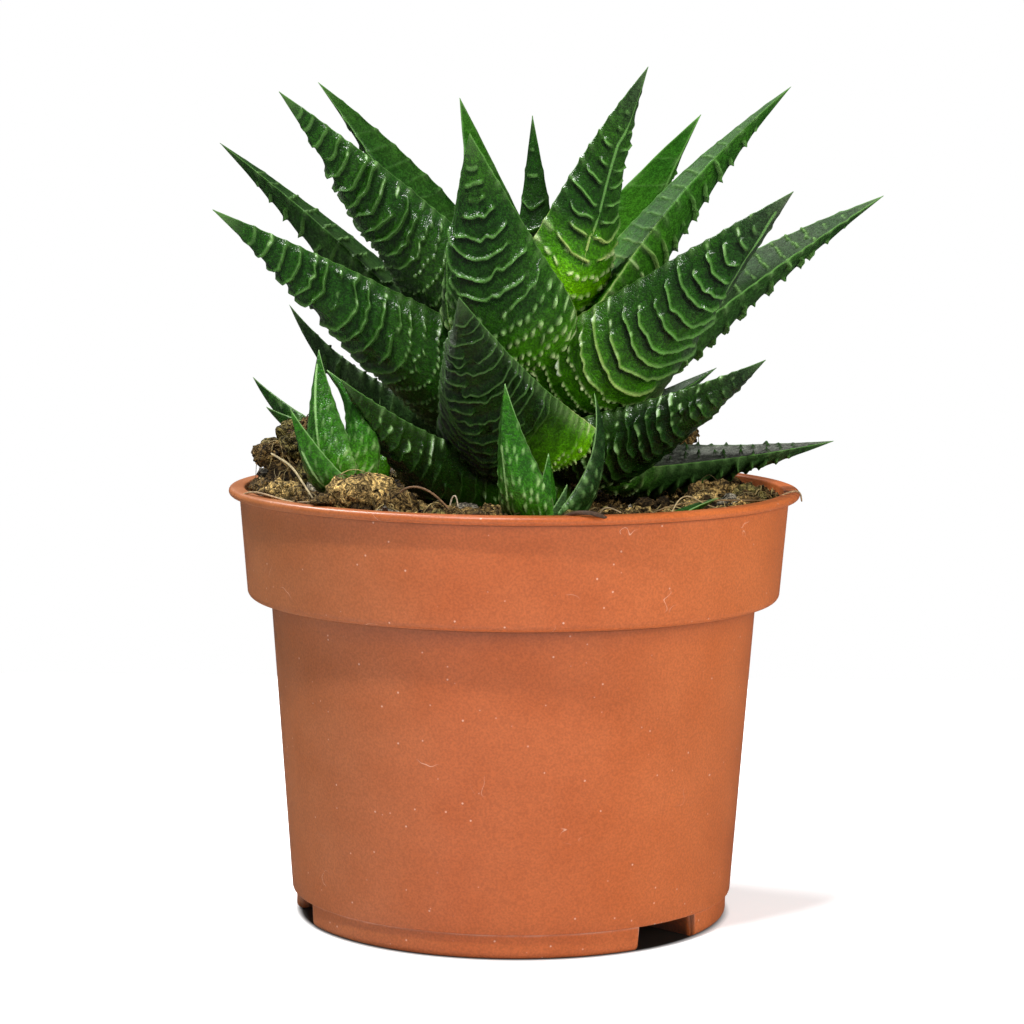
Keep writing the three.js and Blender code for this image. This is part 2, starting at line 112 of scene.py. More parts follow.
# Leaves from the heart outwards. ridge is the spacing of the ridges and fine the density of the grid.
LEAVES = {
    "leaf_heart": dict(
        bearing=250, root=(0, 124), tip=(5.5, 168), width=14, ridge=5, fine=1, crest=.9, glow=.4, painted_glint=-1),
    "leaf_heart_back": dict(bearing=70, root=(1, 123), tip=(9, 150), width=12, ridge=8, fine=.5),
    "leaf_top_right": dict(
        bearing=316, root=(2, 122), tip=(29.6, 177.6), sag=-.09, roll=-12, width=28.5, ridge=3.5, fine=1.2,
        beads=.3, bead=1.9, teeth=.5,
        lines=[[(.5, -.12), (.73, -.2), (.81, .05), (.91, .25), (.99, .3)],
               [(.43, -.15), (.475, -.12)], [(.36, -.2), (.41, -.2)]],
        crest=1.3, glow=1.4, purple_tip=.5),
    "leaf_top_left": dict(
        bearing=128, root=(2, 121), tip=(28.3, 172.2), width=26, ridge=8, fine=.6, teeth=.1, margin=1.2,
        upper=0, dark=-1.5, matt=1),
    "leaf_top_back": dict(
        bearing=45, root=(2, 119), tip=(50.2, 169.3), sag=-.06, width=32, ridge=8, fine=.6, teeth=.1,
        margin=1.2, glow=.35, upper=0, dark=-.6, matt=1.33),
    "leaf_right_high": dict(
        bearing=8, root=(2, 118), tip=(53.2, 174.7), sag=-.1, roll=4, width=33, ridge=4, fine=1.1, bow=.35,
        teeth=.75, crest=1.2, margin=1.2, glow=.5, upper=.2, dark=-1.5, matt=1),
    "leaf_back_high": dict(bearing=85, root=(2, 116), tip=(44, 148), width=27, ridge=8, fine=.5),
    "leaf_left_high_back": dict(
        bearing=157, root=(2, 116), tip=(52, 175.2), sag=-.08, roll=-18, width=31, ridge=5, fine=.8,
        teeth=.6, crest=.35, upper=.1, matt=1),
    "leaf_left_high": dict(
        bearing=195, root=(2, 114), tip=(55.5, 172.2), sag=-.03, roll=45, width=33, keel_at=-.45,
        ridge=3.1, fine=1.2, relief=1.5, whole=.85, beads=.44, crest=.6, thick=1.3,
        flank=([(0, -.5), (1, -.7)], -1, .5, 0), painted_glint=1, yellow_tip=.3),
    "leaf_right_front": dict(
        bearing=322, root=(2, 105), tip=(62.6, 152.9), roll=-42, width=36, keel_at=.45, ridge=3.4,
        fine=1.25, relief=1.4, beads=.26, bead=1.3, lines=[[(.66, .78), (.86, .4), (.93, .1)]], crest=.85,
        thick=1.35, glow=.7, flank=([(0, .55), (.68, .7), (.86, .4), (1, .1)], 1, .55, 0), painted_glint=-1,
        purple_tip=.8),
    "leaf_front_high": dict(
        bearing=251, root=(2, 111), tip=(44, 163.7), sag=.08, width=46, neck=.3, neck_end=.45, keel_at=-.7,
        ridge=3, fine=1.25, relief=1.2, beads=.47, bead=1.8, teeth=.2,
        lines=[[(.36, -.75), (.5, -.85), (.6, -.97)]], crest=.85, thick=1.35, margin=1, glow=.9,
        flank=([(.1, -.7), (.44, -.8), (.6, -1)], -1, .7, 0)),
    "leaf_back_left": dict(bearing=125, root=(2, 110), tip=(58, 140), width=28, ridge=8, fine=.5),
    "leaf_right_long": dict(
        bearing=3, root=(2, 108), tip=(72.3, 152), sag=-.05, roll=20, width=36, ridge=4, fine=1.1,
        inner=.5, bow=.3, rough=1, teeth=.6, crest=.8, margin=1.1, glow=.25, grey=.45, matt=1),
    "leaf_back_right": dict(bearing=62, root=(2, 108), tip=(60, 136), width=28, ridge=8, fine=.5),
    "leaf_left_back": dict(
        bearing=172, root=(2, 105), tip=(68.6, 162), sag=-.06, roll=-2, width=36, ridge=4.6, fine=.9,
        inner=.5, bow=.3, rough=1, teeth=.75, crest=.6, grey=.25, upper=.1, matt=1),
    "leaf_left_long": dict(
        bearing=200, root=(2, 102), tip=(70.5, 148.3), sag=-.02, roll=50, width=32.5, keel_at=-.45,
        ridge=3.1, fine=1.2, relief=1.5, whole=.85, beads=.38, bead=1.3, crest=.6, thick=1.3,
        flank=([(0, -.5), (1, -.7)], -1, .5, 0), painted_glint=1, yellow_tip=.4),
    "leaf_back_low": dict(bearing=98, root=(2, 101), tip=(66, 118), width=28, ridge=8, fine=.5),
    "leaf_right_low": dict(
        bearing=325, root=(2, 95.5), tip=(55, 119.4), sag=.07, roll=-35, width=28, ridge=2.3, fine=1.2,
        relief=1.4, beads=.05, teeth=.55, crest=.18, thick=.85, shade=(0.8, -0.1, -1),
        flank=([(0, 0), (1, .3)], 1, 0, .6), painted_glint=-1, purple_tip=.5, dark=1.2),
    "leaf_left_low": dict(
        bearing=220, root=(2, 87), tip=(52, 115), sag=.14, roll=30, width=29, ridge=2.4, fine=1.2,
        relief=.9, beads=.05, teeth=.5, crest=.15, thick=1, shade=(0.75, -0.1, 1), painted_glint=1, dark=1.3),
    "leaf_front_low": dict(
        bearing=252, root=(2, 99), tip=(52, 132.1), sag=.12, width=43, keel_at=-.7, ridge=1.9, fine=1.25,
        relief=1.5, bow=.45, whole=1.1, bare=.45, beads=.2, bead=1.2, teeth=.2, crest=.7, bars=.65,
        thick=.7, glow=1.3, shade=(.5, .2, 1), flank=([(.1, -.65), (.8, -.65), (1, -.3)], -1, .6, 0),
        dusty=.1, dark=1.5),
    "leaf_left_low_back": dict(
        bearing=153, root=(2, 98), tip=(61.2, 127.2), sag=.17, roll=25, width=35, ridge=3.8, fine=.9,
        inner=.5, rough=1, teeth=.6, crest=.4, grey=1, dark=.4, matt=1),
    "leaf_right_low_back": dict(bearing=32, root=(2, 97), tip=(46, 114.3), width=22, ridge=7, fine=.5),
    "leaf_right_flat": dict(
        bearing=355, root=(2, 97), tip=(62, 101), sag=.04, roll=10, width=28, ridge=2.9, fine=1.1,
        inner=.8, relief=1.4, rough=1, thorns=1, teeth=.3, crest=.75, thick=.9, glow=.5, grey=.9,
        upper=1.5, dark=.3, matt=1),
}

# Offsets: place and radius of the foot, and its leaves. A tip is (distance from the foot's middle, height).
OFFSETS = {
    "offset_left_front": dict(foot=(-34, -28, 91), radius=3, leaves=[
        dict(bearing=165, tip=(5.8, 29.5), width=15, roll=75, keel_at=-.2, glow=.35,
             lines=[[(.12, .1), (.9, -.1)]]),
        dict(bearing=180, tip=(4, 25.5), width=12, roll=75, sag=-.4, glow=.55),
        dict(bearing=205, tip=(12, 18), width=12, roll=20, lines=[[(.1, .4), (.6, .1)]]),
        dict(bearing=76, tip=(7, 17.5), width=8, tone=-.5)]),
    "offset_left_back": dict(foot=(-39, 9, 100), radius=3, leaves=[
        dict(bearing=178, tip=(17, 12.5), width=12, roll=20, tone=-.45),
        dict(bearing=198, tip=(14.5, 6.5), width=11, roll=20, tone=-.5),
        dict(bearing=110, tip=(6, 8.5), width=5)]),
    "offset_front": dict(foot=(5, -47, 86), radius=4, leaves=[
        dict(bearing=200, tip=(7.5, 29.5), width=14, roll=50, keel_at=-.45, crest=1,
             lines=[[(.05, -.4), (.62, -.45)]]),
        dict(bearing=300, tip=(3, 16), width=8),
        dict(bearing=330, tip=(6, 10), width=8, grey=1.5),
        dict(bearing=10, tip=(10.5, 27.5), width=11, roll=-30, sag=.32, grey=.5, tone=-.95)]),
    "offset_middle": dict(foot=(-27, -14, 96), radius=1.5, leaves=[
        dict(bearing=140, tip=(1, 14), width=3.6)]),
    "offset_right_front": dict(foot=(27, -44, 87), radius=2, leaves=[
        dict(bearing=15, tip=(14, 5.5), width=8, sag=-.1, tone=-.3)]),
}


class PotSettings(bpy.types.PropertyGroup):
    height: FloatProperty(name="Height", description="From the foot to the top of the lip",
                          default=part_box("pot")[1][2], unit="LENGTH")
    lip_radius: FloatProperty(name="Lip radius", description="Outer radius of the rolled lip",
                              default=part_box("pot")[1][0], unit="LENGTH")
    sides: IntProperty(name="Sides", description="Faces round the pot", default=180, min=24)
    colour: FloatVectorProperty(name="Plastic", description="Colour of the moulded plastic",
                                default=(0.455, 0.106, 0.025), subtype="COLOR", size=3)


class LeafSettings(bpy.types.PropertyGroup):
    ridge_height: FloatProperty(name="Ridge height", description="How far the pale ridges stand out",
                                default=0.00075, unit="LENGTH")
    skin: FloatVectorProperty(name="Skin", description="Dark green of the leaf's skin",
                              default=(0.012, 0.062, 0.004), subtype="COLOR", size=3)
    crest: FloatVectorProperty(name="Ridges", description="Pale green of the ridges",
                               default=(0.125, 0.30, 0.06), subtype="COLOR", size=3)
    glow: FloatVectorProperty(name="Root", description="Bright green near the leaf's root",
                              default=(0.10, 0.38, 0.004), subtype="COLOR", size=3)


class SoilSettings(bpy.types.PropertyGroup):
    crumbs: IntProperty(name="Crumbs", description="Loose crumbs on the soil", default=4000, min=0)
    fibres: IntProperty(name="Fibres", description="Coir fibres on the soil", default=260, min=0)
    colour: FloatVectorProperty(name="Peat", description="Colour of the peat", default=(0.165, 0.108, 0.045),
                                subtype="COLOR", size=3)


class StageSettings(bpy.types.PropertyGroup):
    floor: FloatVectorProperty(name="Floor", description="Colour of the floor", default=(0.9, 0.9, 0.9),
                               subtype="COLOR", size=3)
    light: FloatProperty(name="Light", description="Strength of the studio lamps", default=1.0, min=0)


# Numbers

def smooth(low, high, value):
    """0 below low, 1 above high and a soft S between them."""
    share = np.clip((value - low) / (high - low), 0, 1)
    return share * share * (3 - 2 * share)


def scatter(first, second):
    """A repeatable number from 0 to 1 for each pair of numbers."""
    wave = np.sin(np.asarray(first) * 127.1 + np.asarray(second) * 311.7) * 43758.5453
    return wave - np.floor(wave)


def noise(points, size, seed=0):
    """Value noise from -1 to 1: random heights on a lattice of the given cell size, blended softly
    between."""
    spot = np.asarray(points) / size
    cell = np.floor(spot)
    part = spot - cell
    part = part * part * (3 - 2 * part)
    total = 0
    for corner in np.ndindex(*(2,) * spot.shape[-1]):
        offset = np.array(corner)
        weight = np.prod(np.where(offset == 1, part, 1 - part), axis=-1)
        place = cell + offset
        key = place @ np.array([12.9898, 78.233, 37.719])[:spot.shape[-1]] + seed * 4.137
        value = np.sin(key) * 43758.5453
        total = total + weight * (value - np.floor(value))
    return 2 * total - 1


# Meshes

def tube_faces(rows, around):
    """Quads of a grid of rows that closes round, as indices."""
    row, side = np.meshgrid(np.arange(rows - 1), np.arange(around), indexing="ij")
    after = (side + 1) % around
    here = row * around
    there = here + around
    return np.stack([here + side, here + after, there + after, there + side], -1).reshape(-1, 4)


def closed_skin(rows):
    """Points and faces of a closed body over rows of rings: shape (rows, around, 3). Both ends close on the
    mean of their ring, and all faces point outwards."""
    count, around = rows.shape[:2]
    points = np.vstack([rows.reshape(-1, 3), rows[0].mean(0), rows[-1].mean(0)])
    quads = tube_faces(count, around)
    side = np.arange(around)
    after = (side + 1) % around
    start = np.stack([np.full(around, count * around), after, side], -1)
    top = (count - 1) * around
    end = np.stack([np.full(around, count * around + 1), top + side, top + after], -1)
    return outwards(points, quads, np.vstack([start, end]))


def outwards(points, quads, tris):
    """Turns all faces round if the body's signed volume is negative."""
    a, b, c, d = (points[quads[:, i]] for i in range(4))
    volume = np.einsum("ij,ij->", a, np.cross(b, c)) + np.einsum("ij,ij->", a, np.cross(c, d))
    p, q, r = (points[tris[:, i]] for i in range(3))
    volume += np.einsum("ij,ij->", p, np.cross(q, r))
    if volume < 0:
        quads, tris = quads[:, ::-1], tris[:, ::-1]
    return points, quads, tris


def merged(bodies):
    """One set of points, quads, tris and marks from several closed bodies."""
    points, quads, tris, marks = [], [], [], []
    first = 0
    for body in bodies:
        points.append(body[0])
        quads.append(body[1] + first)
        tris.append(body[2] + first)
        marks.append(body[3])
        first += len(body[0])
    return np.vstack(points), np.vstack(quads), np.vstack(tris), np.vstack(marks)


def cad_node(name):
    """The object of a node of the solid model."""
    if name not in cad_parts:
        raise KeyError("the solid model has no node named " + name)
    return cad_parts[name]


def put_piece(name, body, material, nodes=(), shade_smooth=True):
    """Puts points in millimetres, quads, tris and the marks of each point into a mesh that rides on the
    root. The first four marks go to the attribute marks and any others to the attribute near."""
    points, quads, tris, marks = body
    if not (np.isfinite(points).all() and np.isfinite(marks).all()):
        raise ValueError(name + " has points or marks that aren't numbers")
    for node in nodes:
        cad_node(node)
    mesh = bpy.data.meshes.new(name)
    mesh.vertices.add(len(points))
    mesh.vertices.foreach_set("co", (points * MM).astype(np.float32).ravel())
    mesh.loops.add(quads.size + tris.size)
    mesh.loops.foreach_set("vertex_index", np.concatenate([quads.ravel(), tris.ravel()]).astype(np.int32))
    starts = np.concatenate([np.arange(len(quads)) * 4, quads.size + np.arange(len(tris)) * 3])
    mesh.polygons.add(len(starts))
    mesh.polygons.foreach_set("loop_start", starts.astype(np.int32))
    mesh.update(calc_edges=True)
    mesh.polygons.foreach_set("use_smooth", np.full(len(starts), shade_smooth))
    for first, label in ((0, "marks"), (4, "near")):
        if marks.shape[1] > first:
            layer = mesh.attributes.new(label, "FLOAT_COLOR", "POINT")
            layer.data.foreach_set("color", marks[:, first:first + 4].astype(np.float32).ravel())
    mesh.materials.append(material)
    piece = bpy.data.objects.new(name, mesh)
    bpy.context.scene.collection.objects.link(piece)
    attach(piece, "root")
    if nodes:
        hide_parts(*nodes)
    return piece


# Leaves

def leaf_frame(leaf, share):
    """The leaf's middle line: a curve through root, bend and tip. Gives its place and its side and up axes;
    the side axis is turned about the line by the leaf's roll."""
    (root_r, root_z), (tip_r, tip_z) = leaf["root"], leaf["tip"]
    bend_r = (root_r + tip_r) / 2 + leaf["sag"] * (tip_z - root_z)
    bend_z = (root_z + tip_z) / 2 - leaf["sag"] * (tip_r - root_r)
    rest = 1 - share
    radius = rest * rest * root_r + 2 * rest * share * bend_r + share * share * tip_r
    height = rest * rest * root_z + 2 * rest * share * bend_z + share * share * tip_z
    outward = rest * (bend_r - root_r) + share * (tip_r - bend_r)
    upward = rest * (bend_z - root_z) + share * (tip_z - bend_z)
    size = np.hypot(outward, upward)
    outward, upward = outward / size, upward / size
    angle = math.radians(leaf["bearing"])
    out = np.array([math.cos(angle), math.sin(angle), 0])
    flat_side = np.array([-math.sin(angle), math.cos(angle), 0])
    x, y = leaf["centre"]
    place = radius[..., None] * out + np.stack([np.full_like(height, x), np.full_like(height, y), height], -1)
    roll = np.radians(leaf["roll"] * (0.7 + 0.3 * smooth(0, 0.4, share)))[..., None]
    along = outward[..., None] * out
    along[..., 2] = upward
    flat_up = np.cross(along, flat_side)
    side = flat_side * np.cos(roll) + flat_up * np.sin(roll)
    up = flat_up * np.cos(roll) - flat_side * np.sin(roll)
    return place, side, up


def leaf_length(leaf):
    """Distance from the root to the tip."""
    return math.hypot(leaf["tip"][0] - leaf["root"][0], leaf["tip"][1] - leaf["root"][1])


def half_width(leaf, share):
    """Half the leaf's width: a wedge that is a little fuller than straight, narrower at the neck."""
    root = leaf["neck"] + (1 - leaf["neck"]) * smooth(0, leaf["neck_end"], share)
    return np.maximum(0.1, leaf["width"] / 2 * np.maximum(0, 1 - share) ** TAPER_POWER * root)


def leaf_skin(leaf, share, across, lower):
    """The smooth leaf: flat, a little hollow above, and below it a curve that is round near the root and
    comes to a keel near the tip."""
    width = half_width(leaf, share)
    thin = 0.4 + 0.6 * smooth(0, 0.35, share)
    depth = 2 * width * (0.4 + 0.12 * share) * thin
    keel = 0.15 + 0.55 * smooth(0.3, 0.9, share)
    at = leaf["keel_at"] * smooth(0.35, 0.7, share)
    wedge = 1 - np.abs(across - at) / (1 - at * np.sign(across - at))
    round_part = np.sqrt(np.maximum(0, 1 - across ** 2))
    drop = depth * ((1 - keel) * round_part + keel * wedge)
    hollow = 0.05 * width * (1 - across ** 2)
    place, side, up = leaf_frame(leaf, share)
    lift = np.where(lower, -drop, -hollow)
    return place + (across * width)[..., None] * side + lift[..., None] * up


def ridge_stations(leaf):
    """Distances of the ridges from the tip: evenly spaced with a little scatter, closer near the root."""
    length = leaf_length(leaf)
    stations = []
    distance = 4 + leaf["ridge"] * 0.5
    while distance < length * 0.97:
        stations.append(distance)
        closer = 1 if distance < length * (1 - RIDGES_START) else 0.6
        distance += closer * leaf["ridge"] * (0.85 + 0.3 * float(scatter(len(stations), leaf["bearing"])))
    return np.array(stations)


# Rows of the grid across a ridge, in millimetres from it: for wide, close and plain ridges
WIDE_STEPS = np.array([-0.9, -0.55, -0.25, 0.0, 0.15, 0.32, 0.55])
CLOSE_STEPS = np.array([-0.6, -0.25, 0.0, 0.18, 0.5])
PLAIN_STEPS = WIDE_STEPS[[1, 3, 5]]


def leaf_rows(leaf, stations):
    """Distances from the tip where the grid has a row: several across each ridge and a few between."""
    length = leaf_length(leaf)
    rows = [np.array([0.15, 0.7, 1.5, 2.6, 3.8])]
    steps = WIDE_STEPS if leaf["ridge"] > 2.95 else CLOSE_STEPS
    between = np.array([0.3, 0.65]) if leaf["ridge"] > 3.3 else np.array([0.5])
    if leaf["fine"] < 0.7:
        steps, between = PLAIN_STEPS, np.array([0.4])
    ends = np.append(stations, length)
    for station, after in zip(ends[:-1], ends[1:]):
        rows.append(station + steps)
        rows.append(station + 0.5 + (after - station - 1.45) * between)
    rows = np.sort(np.concatenate(rows))
    rows = rows[(rows > 0) & (rows < length * 0.995)]
    return rows[np.append(True, np.diff(rows) > 0.06)]


def line_distance(leaf, share, across, width):
    """Distance in millimetres to the nearest of the leaf's pale lines, each of which follows knots of
    (share, across): below nought on one side of the line. Past a line's ends the distance grows quickly."""
    nearest = FAR + 0 * across
    for line in leaf["lines"]:
        knots = np.array(line)
        away = (across - np.interp(share, knots[:, 0], knots[:, 1])) * np.maximum(width, 0.7)
        past = np.maximum(knots[0, 0] - share, 0) + np.maximum(share - knots[-1, 0], 0)
        away = away + np.where(away < 0, -60, 60) * past
        nearest = np.where(np.abs(away) < np.abs(nearest), away, nearest)
    return nearest


def grid_normals(grid):
    """Unit normals of a grid that closes round its second axis, from its neighbours' differences."""
    along = np.gradient(grid, axis=0)
    round_it = np.roll(grid, -1, axis=1) - np.roll(grid, 1, axis=1)
    normal = np.cross(along, round_it)
    return normal / np.maximum(np.linalg.norm(normal, axis=-1, keepdims=True), 1e-9)


def leaf_grid(leaf):
    """The two parameters of the leaf's grid and what follows from them. Rows follow the ridges: each row
    bows to the root in the middle and wavers with its ridge, and moved is its share after that. Columns run
    from margin to margin on the lower face and back on the upper one. gap is the distance behind the nearest
    ridge, and climb runs from 0 to 1 between two ridges."""
    length = leaf_length(leaf)
    stations = ridge_stations(leaf)
    distance = leaf_rows(leaf, stations)[:, None]
    columns = int(max(12, leaf["width"] * COLUMNS_PER_MM * leaf["fine"]))
    turn = np.linspace(-1, 1, columns)
    below = 0.6 * np.sin(turn * np.pi / 2) + 0.4 * turn
    above = np.linspace(1, -1, max(6, int(columns * leaf["inner"])))[1:-1]
    across = np.concatenate([below, above])[None, :]
    lower = np.concatenate([np.ones(columns, bool), np.zeros(len(above), bool)])[None, :]
    share = 1 - distance / length
    width = half_width(leaf, share)
    seed = leaf["bearing"] * 0.37 + leaf["tip"][1]

    nearest = np.argmin(np.abs(distance - stations[None, :]), axis=1)[:, None]
    gap = distance - stations[nearest]
    before = np.clip(np.searchsorted(stations, distance[:, 0] - 1e-6) - 1, 0, None)[:, None]
    following = np.clip(before + 1, 0, len(stations) - 1)
    pitch = np.maximum(stations[following] - stations[before], 0.5)
    climb = np.clip((distance - stations[before]) / pitch, 0, 1) * (following > before)

    arc = across * width * np.where(lower, 1.25, 1)
    ridge_spot = np.stack(np.broadcast_arrays(arc, nearest * 7.3), -1)
    waver = 0.6 * noise(ridge_spot, 3.1, seed) + 0.45 * noise(ridge_spot, 1.3, seed + 5)
    waver = waver * smooth(0, 0.25, width / 16) * np.exp(-(gap / 2.0) ** 2)
    bow = leaf["bow"] * width * smooth(0.02, 0.2, share) * (1 - np.abs(across) ** 1.8)
    moved = np.where(lower, share - (bow + waver) / length, share - 0.3 * waver / length)
    return SimpleNamespace(
        across=across, lower=lower, share=share, width=width, seed=seed, columns=columns, nearest=nearest,
        gap=gap, climb=climb, arc=arc, ridge_spot=ridge_spot, moved=np.clip(moved, 0.002, 1),
        ragged=noise(ridge_spot, 6.0, seed + 9), lumps=0.5 + 0.5 * noise(ridge_spot, 1.0, seed + 2))


def leaf_beads(leaf, at):
    """Beads along the ridges: the arc length is cut into slots, and each slot but a few holds a low dome of
    its own size, a little before or behind the ridge. Gives the domes' heights and the slots' numbers."""
    spacing, dash = leaf["bead"], leaf["dash"]
    ridge = at.nearest + at.seed
    slot = at.arc / spacing + scatter(at.nearest, at.seed)
    number = np.floor(slot)
    size = (0.55 + 0.45 * scatter(number, ridge)) * (scatter(number + 7, ridge) > 0.14)
    offset = (slot - number - 0.5) * spacing
    shift = 0.4 * spacing * (scatter(number + 3, ridge) - 0.5)
    from_middle = (offset * dash / (0.38 * spacing)) ** 2 + ((at.gap - shift) / (0.29 * spacing * dash)) ** 2
    return size * np.maximum(0, 1 - from_middle) ** 0.6, number


def ridge_presence(leaf, at):
    """How much of its ridge is there at each point, 0 to 1: a ridge ends at its own reach before the margin,
    has a few gaps, and leaves out the pale lines, the bare part and the calm flank. Gives also the distance
    to the pale lines and how far a point lies past the flank's edge."""
    reach = 0.5 + 0.5 * scatter(at.nearest * 2 + (at.across > 0), at.seed + 1)
    reach = np.maximum(reach * (1 - 0.55 * smooth(0.68, 0.85, at.share)), leaf["whole"])
    present = smooth(-0.72, -0.5, noise(at.ridge_spot, 4.4, at.seed + 3))
    present = present * smooth(reach + 0.12, reach - 0.05, np.abs(at.across))
    to_line = np.where(at.lower, line_distance(leaf, at.moved, at.across, half_width(leaf, at.moved)), FAR)
    present = present * smooth(0.4, 1.6, np.abs(to_line))
    if leaf["bare"]:
        near_root = smooth(leaf["bare"] + 0.08, leaf["bare"] - 0.08, at.moved)
        present = present * (1 - near_root * smooth(-0.1, 0.3, at.across))
    beyond = 0
    if leaf["flank"]:
        knots, side, _, calm = leaf["flank"]
        knots = np.array(knots)
        edge = np.interp(at.share, knots[:, 0], knots[:, 1])
        beyond = smooth(0, 0.07, (at.across - edge) * side) * at.lower
        present = present * (1 - calm * beyond)
    return present, to_line, beyond


def leaf_relief(leaf, at):
    """How far the skin stands out, in ridge heights. On the lower face it climbs slowly to each ridge and
    falls off sharply behind it; towards the root the ridges break into rows of beads. The upper face has
    faint ridges and single beads, or teeth in rows where the leaf has thorns. What leaf_marks needs of it is
    kept in at."""
    bead, number = leaf_beads(leaf, at)
    at.present, at.to_line, at.beyond = ridge_presence(leaf, at)
    at.broken = smooth(leaf["beads"] + 0.04, leaf["beads"] - 0.03,
                       at.moved + 0.06 * at.ragged - 0.06 * np.abs(at.across))
    at.bead = bead
    rib = np.where(at.gap < 0, np.exp(-(at.gap / 0.42) ** 2), np.exp(-(at.gap / 0.22) ** 2)) * at.present
    ramp = at.climb ** 2 * at.present
    below = (1 - at.broken) * ((0.5 + 0.5 * at.lumps) * rib + 0.6 * ramp)
    below = below + 0.6 * leaf["bead"] * at.broken * bead
    thorns, rough = leaf["thorns"], leaf["rough"]
    from_row = np.abs(at.across * 2 - np.round(at.across * 2)) / 2 * at.width
    chosen = scatter(number, at.seed + at.nearest * 3) > 0.6 - 0.4 * rough
    at.thorn = bead * (1 - thorns * smooth(0.4, 0.9, from_row)) * chosen
    at.above = 0.2 * rib * (1 - thorns) + (rough + 0.4 * thorns) * at.thorn
    return np.where(at.lower, below, at.above)


def leaf_marks(leaf, at, grid):
    """What the material reads at each point. Marks: paleness of the ridges, bright root (past 0.75 a painted
    glow of light through the leaf, below nought painted shade), white bead tops (over 1 painted highlights,
    the glints) and worn tone (past 1.4 partly painted light on the upper face). Near: distance to the ridge
    as a share of its thickness, to a pale line in millimetres, to the margin as a share of its line, and
    behind the ridge, which places the ridge's painted shadow."""
    thorns = leaf["thorns"]
    strength = leaf["crest"] * smooth(0.4, 1.6, at.width)
    below = (1 - at.broken) * at.present * (0.7 + 0.3 * at.lumps)
    pale = np.where(at.lower, below, 0.15 * at.present * (1 - thorns)) * strength * leaf["bars"]

    white = np.where(at.lower, at.broken * at.bead * 1.2, 0.8 * at.above * (1 - thorns))
    white = white * smooth(0.2, 0.8, strength) + 0.35 * at.tooth
    white = white * smooth(1, 3, at.width) + leaf["yellow_tip"] * smooth(0.9, 1, at.share)
    # painted highlights: whitish spots on the ridges' crests on the side towards the light
    if leaf["painted_glint"]:
        facing = smooth(0.05, 0.75, at.across * leaf["painted_glint"]) * at.lower
        spots = noise(at.ridge_spot, 0.8, at.seed + 12) + 0.5 * noise(at.ridge_spot, 2.5, at.seed + 13)
        on_crest = np.exp(-((at.gap + 0.1) / 0.24) ** 2) * smooth(1.2, 3, at.width)
        white = white + 2.2 * on_crest * facing * smooth(0.3, 0.75, spots)

    glow = leaf["glow"] * smooth(0.5, 0.12, at.moved + 0.05 * at.ragged)
    glow = glow + leaf["tone"] * smooth(0, 0.3, at.moved)
    if leaf["shade"]:
        from_share, edge_at, sunny_side = leaf["shade"]
        sunny = smooth(edge_at - 0.4, edge_at + 0.4, at.across * sunny_side)
        glow = glow * sunny - (1 - sunny) * smooth(from_share, from_share - 0.35, at.moved) * at.lower

    worn = np.where(at.lower, 0.4 * leaf["grey"], leaf["upper"] + 0.55 * leaf["grey"])
    worn = worn * np.where(at.lower, 1, 1 - thorns * np.clip(1.6 * at.thorn, 0, 1))
    if leaf["flank"]:
        worn = worn + leaf["flank"][2] * at.beyond
    worn = worn + leaf["dusty"] * smooth(0.45, 0.8, at.share) * at.lower
    worn = worn + leaf["purple_tip"] * smooth(0.75, 0.98, at.share)

    margins = grid[:, :1], grid[:, at.columns - 1:at.columns]
    to_margin = np.minimum(*(np.linalg.norm(grid - margin, axis=-1) for margin in margins)) / leaf["margin"]
    gap = at.gap / leaf["thick"]
    behind = np.where(gap < 0, FAR, gap)
    near = (np.abs(gap), at.to_line, to_margin, behind)
    return np.stack(np.broadcast_arrays(pale, glow, white, worn, *near), -1)


def leaf_body(leaf, ridge_height):
    """The leaf with its relief: the smooth leaf, plus the relief along its normals, teeth along its side
    axis where the ridges meet the margins, and a little unevenness of two sizes. ridge_height is in
    millimetres."""
    at = leaf_grid(leaf)
    grid = leaf_skin(leaf, at.moved, at.across, at.lower)
    height = leaf["relief"] * ridge_height * smooth(1.2, 5, at.width)
    lifted = leaf_relief(leaf, at) * height * smooth(1, 0.9, np.abs(at.across))
    edge = np.exp(-((1 - np.abs(at.across)) * at.width / 0.5) ** 2) * smooth(0.9, 2.2, at.width)
    sizes = 0.35 + 0.65 * scatter(at.nearest * 2 + (at.across > 0), at.seed)
    at.tooth = edge * np.exp(-(at.gap / 0.7) ** 2) * sizes
    normal = grid_normals(grid)
    middle = leaf_frame(leaf, np.clip(at.share[:, 0], 0, 1))[0][:, None, :]
    if np.mean(np.sum((grid - middle) * normal, -1)) < 0:
        normal = -normal
    side = leaf_frame(leaf, at.moved)[1]
    grid = grid + lifted[..., None] * normal
    grid = grid + (np.sign(at.across) * at.tooth * leaf["teeth"])[..., None] * side
    uneven = 0.16 * noise(grid, 4.5, at.seed) + 0.06 * noise(grid, 1.2, at.seed + 4)
    grid = grid + (uneven * smooth(0.8, 4, at.width))[..., None] * normal
    marks = leaf_marks(leaf, at, grid)
    points, quads, tris = closed_skin(grid)
    return points, quads, tris, np.vstack([marks.reshape(-1, 8), marks[0].mean(0), marks[-1].mean(0)])


# Rings of an offset's foot, as shares of its radius and heights in millimetres
FOOT_RINGS = np.array([(0.1, -8), (0.6, -8), (0.8, -4), (1, 1), (0.7, 2), (0.1, 2.2)])
FOOT_MARKS = (0.0, 0.6, 0.0, 0.0, FAR, FAR, FAR, 0.0)


